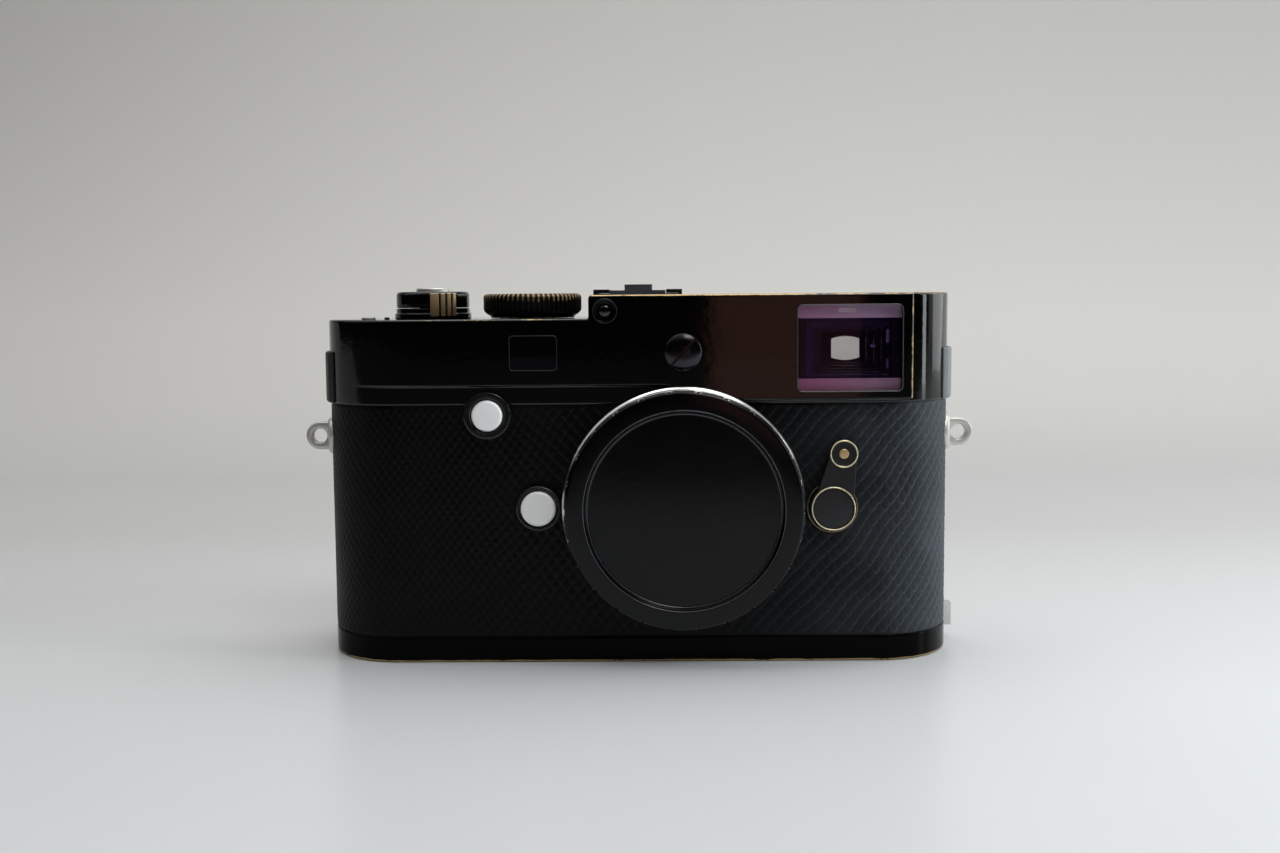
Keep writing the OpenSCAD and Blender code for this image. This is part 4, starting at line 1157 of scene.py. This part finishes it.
def build_front_marks():
    """Light sensor dome, slotted cover screw, and the rims round the two front windows; thin grey beads round
    the sensor, the screw and both windows are painted edge highlights.
    """
    x, _, z = middle("light_sensor")
    ring = [(1.62, -18.7), (1.62, -19.2, 0.05), (2.28, -19.25, 0.05), (2.36, -19.45, 0.04),
            (2.58, -19.5, 0.06), (2.67, -19.3, 0.05), (2.67, -18.7), (1.62, -18.7)]
    stand_for(lathe("sensor_ring", x, z, "y", ring, LOOK["cap"], "camera_body", 96), "light_sensor")
    # painted edge highlight: a thin grey bead round the sensor ring
    edge = ring_line("sensor_edge", x, z, "y", 2.56, -19.42, 0.08, LOOK["dark_rim"], "camera_body")
    dome = [(0, -19.5), (0.5, -19.46), (0.95, -19.33), (1.3, -19.1),
            (1.5, -18.85), (1.55, -18.6)]
    lathe("sensor_dome", x, z, "y", dome, LOOK["dark_glass"], "camera_body", 48)

    x, _, z = middle("cover_screw")
    head = [(0, -20.1), (1.4, -20.05), (2.4, -19.92), (3.2, -19.66),
            (3.75, -19.35, 0.1), (3.98, -19.15, 0.1), (3.98, -18.2), (0, -18.2)]
    screw = lathe("cover_screw_turned", x, z, "y", head, LOOK["dark_steel"], "camera_body", 128)
    half_slot = 0.28
    boolean(screw, prism_cutter(slot_corners(x, z, 6, half_slot), "y", -21, -19.25))
    stand_for(screw, "cover_screw")
    # painted edge highlight: a thin grey bead round the screw head
    edge = ring_line("screw_edge", x, z, "y", 4.02, -18.98, 0.07, LOOK["dark_rim"], "camera_body")
    floor = slot_corners(x, z, 3.6, half_slot - 0.02)
    slab("screw_slot", floor, "y", -19.35, -19.2, 0.01, LOOK["old_brass"])

    low, high = box_mm("rangefinder_window")
    outline = round_rect(low[0], high[0], low[2], high[2], 0.8)
    # painted edge highlights: thin grey beads round both front windows
    wire("finder_rim", outline, "y", -19.13, 0.09, LOOK["dark_rim"])
    low, high = box_mm("viewfinder_glass")
    outline = round_rect(low[0] + 0.05, high[0] - 0.05, low[2] + 0.05, high[2] - 0.05, 1.1)
    wire("window_rim", outline, "y", -19.1, 0.13, LOOK["edge_line"])


def build_finder_inside():
    """What shows through the finder window: violet prism bands, stepped baffles, the eye opening and small
    painted reflection glints.
    """
    low, high = box_mm("viewfinder_glass")
    for band, z0, z1, corners in (("top", high[2] - 2.9, high[2] - 0.12, (0.05, 0.95)),
                                  ("low", low[2] + 0.12, low[2] + 2.75, (0.95, 0.05))):
        bottom_r, top_r = corners
        x0, x1 = low[0] + 0.12, high[0] - 0.12
        outline = (arc((x1 - bottom_r, z0 + bottom_r), bottom_r, -90, 0, 5)
                   + arc((x1 - top_r, z1 - top_r), top_r, 0, 90, 5)
                   + arc((x0 + top_r, z1 - top_r), top_r, 90, 180, 5)
                   + arc((x0 + bottom_r, z0 + bottom_r), bottom_r, 180, 270, 5))
        strip = slab("prism_band_" + band, outline, "y", -17.66, -17.55, 0.02, LOOK["band_" + band])
    notch = [(43.0, high[2] - 1.7), (46.6, high[2] - 1.7), (46.6, high[2] - 0.75), (43.0, high[2] - 0.75)]
    slab("prism_notch", notch, "y", -17.69, -17.62, 0.02, LOOK["notch"])
    cx, cz = 46.4, 67.6
    sizes = ((10.2, 7.7, 8.6, 5.3, -15.8), (9.6, 7.3, 7.9, 4.9, -12.5), (9.2, 6.8, 7.0, 4.4, -9.0),
             (8.4, 6.2, 6.0, 3.9, -5.0), (7.4, 5.4, 5.0, 3.5, -0.5))
    for i, (ow, oh, iw, ih, y) in enumerate(sizes):
        outer = round_rect(cx - ow, cx + ow, cz - oh, cz + oh, 0.5)
        inner = round_rect(cx - iw, cx + iw, cz - ih, cz + ih, 0.4)
        frame_piece = open_slab("baffle_" + str(i), outer, inner, "y", y, y + 1.4, 0.14, LOOK["baffle"])
    low, high = box_mm("viewfinder_mask")
    eye_x, eye_z = 47.35, 67.2
    bow, half_w, half_h = 0.62, 3.25, 2.75
    opening = []
    for a in np.linspace(-1, 1, 15):
        opening.append((eye_x + half_w * a, eye_z - half_h + bow * a * a))
    for a in np.linspace(1, -1, 15):
        opening.append((eye_x + half_w * a, eye_z + half_h - bow * a * a))
    reach = []
    for px, pz in opening:
        a = math.atan2(pz - eye_z, px - eye_x)
        scale = min(8.2 / max(1e-6, abs(math.cos(a))), 6.6 / max(1e-6, abs(math.sin(a))))
        reach.append((eye_x + scale * math.cos(a), eye_z + scale * math.sin(a)))
    mask = open_slab("finder_mask", reach, opening, "y", low[1], high[1], 0.08, LOOK["hollow"])
    stand_for(mask, "viewfinder_mask")
    # small bluish metal chips that stand in as painted reflection highlights inside the finder
    for i, (x, y, z, w, h) in enumerate(((54.2, -13.0, 70.4, 0.35, 1.5), (55.0, -12.9, 70.2, 0.22, 1.4),
                                         (54.2, -13.0, 64.4, 0.25, 1.1), (51.6, -9.0, 68.2, 0.55, 0.35))):
        outline = round_rect(x - w, x + w, z - h, z + h, min(w, h) * 0.8)
        glint = slab("finder_glint_" + str(i), outline, "y", y, y + 0.15, 0.06, LOOK["glint"])


def build_flange(side, z):
    """Washer under a strap eye that follows the round end of the body."""
    verts, n = [], 64
    stages = [(4.0, -0.15), (4.0, 0.35), (3.85, 0.6), (3.6, 0.78), (3.2, 0.85), (1.6, 0.9)]
    for radius, lift in stages:
        for a in np.linspace(0, 2 * math.pi, n + 1)[:-1]:
            y = EYE_Y + radius * math.cos(a)
            reach = END_X + math.sqrt((HALF_DEPTH + lift) ** 2 - y * y)
            verts.append((side * reach, y, z + radius * math.sin(a)))
    faces = band_faces(len(stages), n) + end_faces(len(stages), n)
    flange = make_object("strap_flange_" + str(side + 1), verts, faces, LOOK["lug"], None)


def build_ends():
    """Strap eyes with their washers, and the smooth side pads on the round ends."""
    parts = []
    for side in (-1, 1):
        x, z = side * EYE_X, EYE_Z
        outer, inner = [], []
        for a in np.linspace(0, 2 * math.pi, 97)[:-1]:
            out_x, out_z = math.cos(a), math.sin(a)
            reach = 3.1
            if out_x * side < 0:
                reach = min(2.6 / abs(out_x), 3.1 / max(0.02, abs(out_z)))
            outer.append((x + reach * out_x, z + reach * out_z))
            inner.append((x + 1.62 * out_x, z + 1.62 * out_z))
        ring = open_slab("strap_eye_" + str(side + 1), outer, inner, "y", EYE_Y - 1.2, EYE_Y + 1.2, 0.35,
                         LOOK["lug"])
        if side < 0:
            stand_for(ring, "strap_lugs")
        build_flange(side, z)
        half = math.asin(9 / (HALF_DEPTH + 0.5))
        steps = 28
        rows = [(56.42, 0.02), (56.42, 0.6), (56.65, 0.9), (57.0, 0.98), (67.1, 0.98), (67.45, 0.9),
                (67.68, 0.6), (67.68, 0.02)]
        verts, faces = [], []
        for i in range(steps + 1):
            a = -half + 2 * half * i / steps
            fade = min(1, (half - abs(a)) / 0.05)
            for z_row, out in rows:
                r = HALF_DEPTH + 0.01 + (out - 0.01) * (0.25 + 0.75 * math.sqrt(max(0, fade)))
                verts.append((side * (END_X + r * math.cos(a)), r * math.sin(a), z_row))
        m = len(rows)
        for i in range(steps):
            for k in range(m - 1):
                faces.append((i * m + k, i * m + k + 1, (i + 1) * m + k + 1, (i + 1) * m + k))
            faces.append((i * m, (i + 1) * m, (i + 1) * m + m - 1, i * m + m - 1))
        faces += [tuple(range(m))[::-1], tuple(range(steps * m, steps * m + m))]
        # the right pad takes the lit copy of the rubber and the left pad the shaded copy: painted light and
        # painted shade
        pad = make_object("side_pad_" + str(side + 1), verts, faces,
                          LOOK["rubber" if side > 0 else "shaded_rubber"], None, "camera_body", 40)
        weighted(pad)
        parts.append(pad)
    stand_for(parts[0], "side_pads")


def build_back():
    """Display, control column, four-way pad and thumb wheel on the back."""
    low, high = box_mm("display_bezel")
    outer = round_rect(low[0], high[0], low[2], high[2], 2.2, 8)
    inner = round_rect(low[0] + 1.5, high[0] - 1.5, low[2] + 1.5, high[2] - 1.5, 0.9, 8)
    display_frame = open_slab("display_frame", outer, inner, "y", low[1], high[1], 0.3, LOOK["matte"])
    stand_for(display_frame, "display_bezel")
    glow, ghigh = box_mm("display_glass")
    pane = slab("display_pane", round_rect(glow[0], ghigh[0], glow[2], ghigh[2], 0.8, 6), "y",
                glow[1], ghigh[1], 0.12, LOOK["display"])
    stand_for(pane, "display_glass")
    panel_in = round_rect(glow[0] + 2.2, ghigh[0] - 2.2, glow[2] + 2.2, ghigh[2] - 2.2, 0.4, 6)
    slab("display_picture", panel_in, "y", ghigh[1] - 0.01, ghigh[1] + 0.012, 0.005, LOOK["screen"])
    for node in SLOTS["gloss_black"][1:7]:
        low, high = box_mm(node)
        key = slab(node + "_cap", round_rect(low[0], high[0], low[2], high[2], 1.2, 6), "y",
                   low[1], high[1], 0.32, LOOK["gloss"], node, 0.25)
        stand_for(key, node)
    x, _, z = middle("direction_pad")
    low, high = box_mm("direction_pad")
    rim = [(3.65, low[1]), (3.65, high[1] - 0.55, 0.1), (4.1, high[1] - 0.5, 0.2),
           (6.6, high[1] - 0.25, 0.3), (7.6, high[1], 0.25), (8.35, high[1] - 0.15, 0.2, 0.2),
           (8.6, high[1] - 0.5, 0.2, 0.2), (8.6, low[1]), (3.65, low[1])]
    stand_for(lathe("direction_ring", x, z, "y", rim, LOOK["gloss"], "direction_pad", 128), "direction_pad")
    for i in range(4):
        a = math.pi / 2 * i
        cx, cz = x + 6.2 * math.cos(a), z + 6.2 * math.sin(a)
        points = [(cx + 0.55 * math.cos(a + t), cz + 0.55 * math.sin(a + t)) for t in (0, 2.1, -2.1)]
        mark = slab("pad_mark_" + str(i), points, "y", high[1] - 0.35, high[1] - 0.24, 0.02,
                    LOOK["white_mark"], "direction_pad")
    low, high = box_mm("centre_button")
    knob = [(0, high[1] - 0.12), (2.2, high[1] - 0.05, 0.2), (2.95, high[1], 0.2),
            (3.2, high[1] - 0.3, 0.15), (3.2, low[1]), (0, low[1])]
    button = lathe("centre_button_turned", x, z, "y", knob, LOOK["gloss"], "centre_button", 96)
    stand_for(button, "centre_button")
    x, y, z = middle("thumb_wheel")
    low, high = box_mm("thumb_wheel")

    def cogs(a, r, h):
        return (-0.32 * max(0, min(1, 0.5 + 0.8 * math.cos(44 * a))), 0.2) if r > 6 else (0, 0)

    wheel = [(0, low[2]), (5.9, low[2], 0.1), (6.28, low[2] + 0.4, 0.1, 0.3),
             (6.28, high[2] - 0.4, 0.1, 0.3), (5.9, high[2], 0.1), (0, high[2])]
    stand_for(lathe("thumb_wheel_turned", x, y, "z", wheel, LOOK["dial_metal"], "thumb_wheel", 528, cogs),
              "thumb_wheel")
    x, _, z = middle("eyepiece_ring")
    ring = [(4.65, 15.4), (5.2, 18.1, 0.1), (5.35, 18.8, 0.1), (5.7, 19.1, 0.15, 0.5),
            (6.9, 19.1, 0.25, 0.2), (7.55, 18.6, 0.25, 0.5), (7.6, 17.22, 0.1), (5.95, 17.2),
            (5.95, 15.4), (4.65, 15.4)]
    eyepiece = lathe("eyepiece_turned", x, z, "y", ring, LOOK["rim_metal"], "camera_body", 128)
    stand_for(eyepiece, "eyepiece_ring")


def build_underside():
    """Tripod bush with the grooves of its thread."""
    profile = [(3.175, 0.05), (3.45, 0.0, 0.05), (5.0, 0.0, 0.15), (5.17, 0.15, 0.1),
               (5.17, 1.4), (6.35, 1.45), (6.35, 4.85), (3.175, 4.9)]
    z = 4.7
    while z > 0.5:
        profile += [(3.18, z), (3.42, z - 0.3), (3.18, z - 0.6)]
        z -= 0.64
    profile.append((3.175, 0.05))
    bush = lathe("tripod_bush", 0, 0, "z", profile, LOOK["satin"], "bottom_cover", 96)
    stand_for(bush, "tripod_socket")


def refine(node, width):
    """Rounds the sharp edges of a CAD node that is shown as it is."""
    obj = nodes[node]
    flat = obj.modifiers.new("flat", "DECIMATE")
    flat.decimate_type = "DISSOLVE"
    flat.angle_limit = math.radians(1)
    bevel = obj.modifiers.new("round", "BEVEL")
    bevel.width = width * MM
    bevel.segments = 2
    bevel.limit_method = "ANGLE"
    bevel.angle_limit = math.radians(40)
    bevel.use_clamp_overlap = True
    for polygon in obj.data.polygons:
        polygon.use_smooth = True
    normal = obj.modifiers.new("weighted", "WEIGHTED_NORMAL")
    normal.keep_sharp = True


# ---- camera, light and stage ----


def build_camera():
    """Camera at the fitted place of the photograph."""
    sensor_width, focal_length = 36, 39.22425
    place = Vector((4.753, -315.17, 79.02)) * MM
    pitch, roll, yaw = 0.0921, -0.0082, -0.0139
    ahead = Vector((math.sin(yaw) * math.cos(pitch), math.cos(yaw) * math.cos(pitch), -math.sin(pitch)))
    right = Vector((math.cos(yaw), -math.sin(yaw), 0))
    up = right.cross(ahead)
    right_r = right * math.cos(roll) + up * math.sin(roll)
    up_r = up * math.cos(roll) - right * math.sin(roll)
    data = bpy.data.cameras.new("camera")
    data.sensor_width = sensor_width
    data.lens = focal_length
    data.clip_start = 0.01
    obj = link_object("camera", data)
    turn = Matrix((right_r, up_r, -ahead)).transposed()
    obj.matrix_world = Matrix.Translation(place) @ turn.to_4x4()
    bpy.context.scene.camera = obj
    bpy.context.scene.view_settings.view_transform = "Standard"


def area_light(name, place, target, size, radiance, color):
    """Soft rectangular light aimed at a point; lengths in metres, brightness per area."""
    data = bpy.data.lights.new(name, "AREA")
    data.shape = "RECTANGLE"
    data.size, data.size_y = size
    data.energy = radiance * math.pi * size[0] * size[1]
    data.color = color
    obj = link_object(name, data)
    obj.location = place
    obj.rotation_mode = "QUATERNION"
    obj.rotation_quaternion = (Vector(target) - Vector(place)).to_track_quat("-Z", "Y")
    obj.visible_camera = False
    return obj


def build_world():
    """Room light by direction: pale behind and above, dark in front."""
    world = bpy.data.worlds.new("world")
    world.use_nodes = True
    bpy.context.scene.world = world
    tree = world.node_tree
    background = tree.nodes["Background"]
    coords = tree.nodes.new("ShaderNodeTexCoord").outputs["Generated"]

    def lobe(direction, low, high, strength, color):
        dot = tree.nodes.new("ShaderNodeVectorMath")
        dot.operation = "DOT_PRODUCT"
        tree.links.new(coords, dot.inputs[0])
        dot.inputs[1].default_value = Vector(direction).normalized()
        ramp = tree.nodes.new("ShaderNodeMapRange")
        ramp.interpolation_type = "SMOOTHSTEP"
        ramp.inputs["From Min"].default_value = low
        ramp.inputs["From Max"].default_value = high
        ramp.inputs["To Min"].default_value = 0
        ramp.inputs["To Max"].default_value = strength
        tree.links.new(dot.outputs["Value"], ramp.inputs["Value"])
        scale = tree.nodes.new("ShaderNodeVectorMath")
        scale.operation = "SCALE"
        scale.inputs[0].default_value = color
        tree.links.new(ramp.outputs["Result"], scale.inputs["Scale"])
        return scale.outputs["Vector"]

    def join(operation, first, second):
        node = tree.nodes.new("ShaderNodeVectorMath")
        node.operation = operation
        tree.links.new(first, node.inputs[0])
        tree.links.new(second, node.inputs[1])
        return node.outputs["Vector"]

    behind = lobe((0, 1, 0), -0.08, 0.06, 0.50, (1.0, 0.99, 0.96))
    from_right = lobe((0.5, 0.85, 0), -0.12, 0.10, 1.0, (1.0, 1.0, 1.0))
    above = lobe((0, 0.25, 1), 0.25, 0.95, 0.66, (0.95, 0.98, 1.0))
    rest = lobe((0, 0, 1), -1.2, -1.0, 0.012, (0.9, 0.95, 1.0))
    upper_left = lobe((-0.75, -0.05, 0.66), 0.86, 0.98, 0.30, (1.0, 1.0, 1.0))
    room = join("ADD", join("MULTIPLY", behind, from_right), above)
    total = join("ADD", room, join("ADD", rest, upper_left))
    tree.links.new(total, background.inputs["Color"])
    background.inputs["Strength"].default_value = 1.0


def build_stage():
    """Pale table that sweeps up into a grey wall, with painted shade in its colour: a darker band behind the
    body, a darker left side and a dark front edge.
    """
    half, start, reach, radius = 2.2, -1.6, 0.55, 0.35
    line = [(start, 0.0), (-0.5, 0.0), (-0.12, 0.0), (0.0, 0.0), (reach * 0.5, 0.0)]
    line += [(reach + radius * math.sin(a), radius * (1 - math.cos(a)))
             for a in np.radians(np.linspace(0, 90, 16))]
    line.append((reach + radius, 2.0))
    verts, faces = [], []
    for y, z in line:
        verts += [(-half, y, z), (half, y, z)]
    for i in range(len(line) - 1):
        faces.append((2 * i, 2 * i + 1, 2 * i + 3, 2 * i + 2))
    mesh = bpy.data.meshes.new("stage")
    mesh.from_pydata(verts, [], faces)
    for polygon in mesh.polygons:
        polygon.use_smooth = True
    obj = link_object("stage", mesh)
    paint = Paint("stage", (0.7, 0.7, 0.7), 0.35)
    depth = paint.along("Y")
    # painted shade: a darker band on the floor from just behind the body to the sweep
    color = paint.mix(paint.spread(depth, -0.04, 0.16), (0.575, 0.59, 0.60), (0.445, 0.445, 0.44))
    color = paint.mix(paint.spread(depth, 0.30, 0.75), color, (0.645, 0.635, 0.615))
    # painted shade: darker towards the left, away from the lights on the right
    left = paint.spread(paint.along("X"), 0.30, -0.45)
    color = paint.blend("MULTIPLY", left, color, (0.93, 0.925, 0.92))
    # painted shade: the table turns dark towards its front edge
    near = paint.spread(depth, -0.20, -0.36)
    paint.link(paint.mix(near, color, (0.04, 0.04, 0.042)), "Base Color")
    rough = paint.spread(depth, 0.0, 0.3, 0.30, 0.8)
    paint.link(paint.math("ADD", rough, paint.math("MULTIPLY", near, 0.6)), "Roughness")
    mesh.materials.append(paint.material)


def build_lights():
    """Seven soft lights, hidden from the camera.

    Overhead, a window and a side key from the right, a strip for the round end, a warm card that only
    reflections see, a key from the front and a wash on the wall.
    """
    area_light("overhead", (0.1, 0.25, 0.95), (0, 0.05, 0), (1.2, 0.8), 1.5, (1.0, 0.99, 0.97))
    area_light("window", (1.1, 0.50, 0.25), (0, 0.1, 0.06), (0.75, 1.0), 1.65, (0.93, 0.97, 1.0))
    side = area_light("side_key", (0.42, -0.13, 0.17), (0.05, 0, 0.04), (0.12, 0.30), 11.0, (0.90, 0.96, 1.0))
    side.visible_glossy = False
    area_light("strip", (0.95, -0.175, 0.25), (0.06, 0, 0.05), (0.11, 0.6), 4.2, (0.93, 0.98, 1.0))
    glow = area_light("warm_card", (0.090, -0.66, 0.068), (0.03, 0, 0.068), (0.10, 0.13), 0.40,
                      (1.0, 0.45, 0.35))
    glow.visible_diffuse = False
    area_light("front_key", (0.32, -0.60, 0.95), (0, 0, 0.05), (0.5, 0.4), 4.7, (1.0, 1.0, 1.0))
    area_light("wall_wash", (0.15, 0.05, 1.5), (0.0, 0.9, 0.65), (1.8, 0.35), 2.5, (1.0, 0.995, 0.98))


build_camera()
build_world()
build_stage()
build_lights()
build_top_cover()
build_bottom_cover()
build_leather()
build_cap()
build_mount()
build_round_button("lens_release_button", "lens_release_bezel", 4.98, 3.75, -19.4, -18.9, -12.8)
build_round_button("focus_button", "focus_bezel", 5.2, 3.3, -19.3, -18.8, -12.4)
build_selector()
build_speed_dial()
build_release()
build_front_marks()
build_finder_inside()
build_ends()
build_back()
build_underside()

# ---- materials of the CAD nodes that stay ----

node_material = {
    "top_cover": "enamel", "bottom_cover": "base_enamel", "leather_covering": "leather",
    "chassis_frame": "frame", "optics_base": "frame", "viewfinder_block": "hollow",
    "viewfinder_mask": "hollow", "viewfinder_glass": "violet_glass", "eyepiece_lens": "clear_glass",
    "eyepiece_ring": "rim_metal", "rangefinder_window": "dark_glass", "rangefinder_arm": "brass",
    "light_sensor": "gloss", "cover_screw": "gloss", "speed_dial": "dial_metal",
    "release_collar": "dial_metal", "power_switch": "dial_metal", "shutter_button": "dial_metal",
    "shutter_spring": "satin", "movie_button": "gloss", "hot_shoe": "dark_rim",
    "hot_shoe_contacts": "brass", "hot_shoe_cover": "shoe_rubber", "lens_mount_ring": "steel",
    "mount_screws": "satin", "mount_throat": "hollow", "lens_lock_pin": "steel",
    "lens_release_bezel": "rim_metal", "lens_release_button": "silver", "focus_bezel": "rim_metal",
    "focus_button": "silver", "selector_collar": "rim_metal", "selector_lever": "lever",
    "body_cap": "cap", "cap_bayonet": "matte", "strap_lugs": "satin", "side_pads": "rubber",
    "hook_post": "steel", "display_bezel": "matte", "display_glass": "display",
    "direction_pad": "gloss", "centre_button": "gloss", "thumb_wheel": "dial_metal",
    "tripod_socket": "satin", "latch_turnlock": "satin", "latch_toggle": "steel",
    "battery": "battery", "memory_card": "card", "sensor_module": "board", "main_board": "board",
    "shutter_frame": "matte", "shutter_blade_top": "blade", "shutter_blade_middle": "blade",
    "shutter_blade_bottom": "blade",
}
for name in ("live_view", "play", "delete", "iso", "menu", "set"):
    node_material[name + "_button"] = "gloss"
for name, finish in node_material.items():
    data = nodes[name].data
    data.materials.clear()
    data.materials.append(LOOK[finish])
for name, width in (("hot_shoe", 0.15), ("hot_shoe_cover", 0.2), ("hook_post", 0.3),
                    ("latch_turnlock", 0.2), ("latch_toggle", 0.15), ("lens_lock_pin", 0.2)):
    refine(name, width)
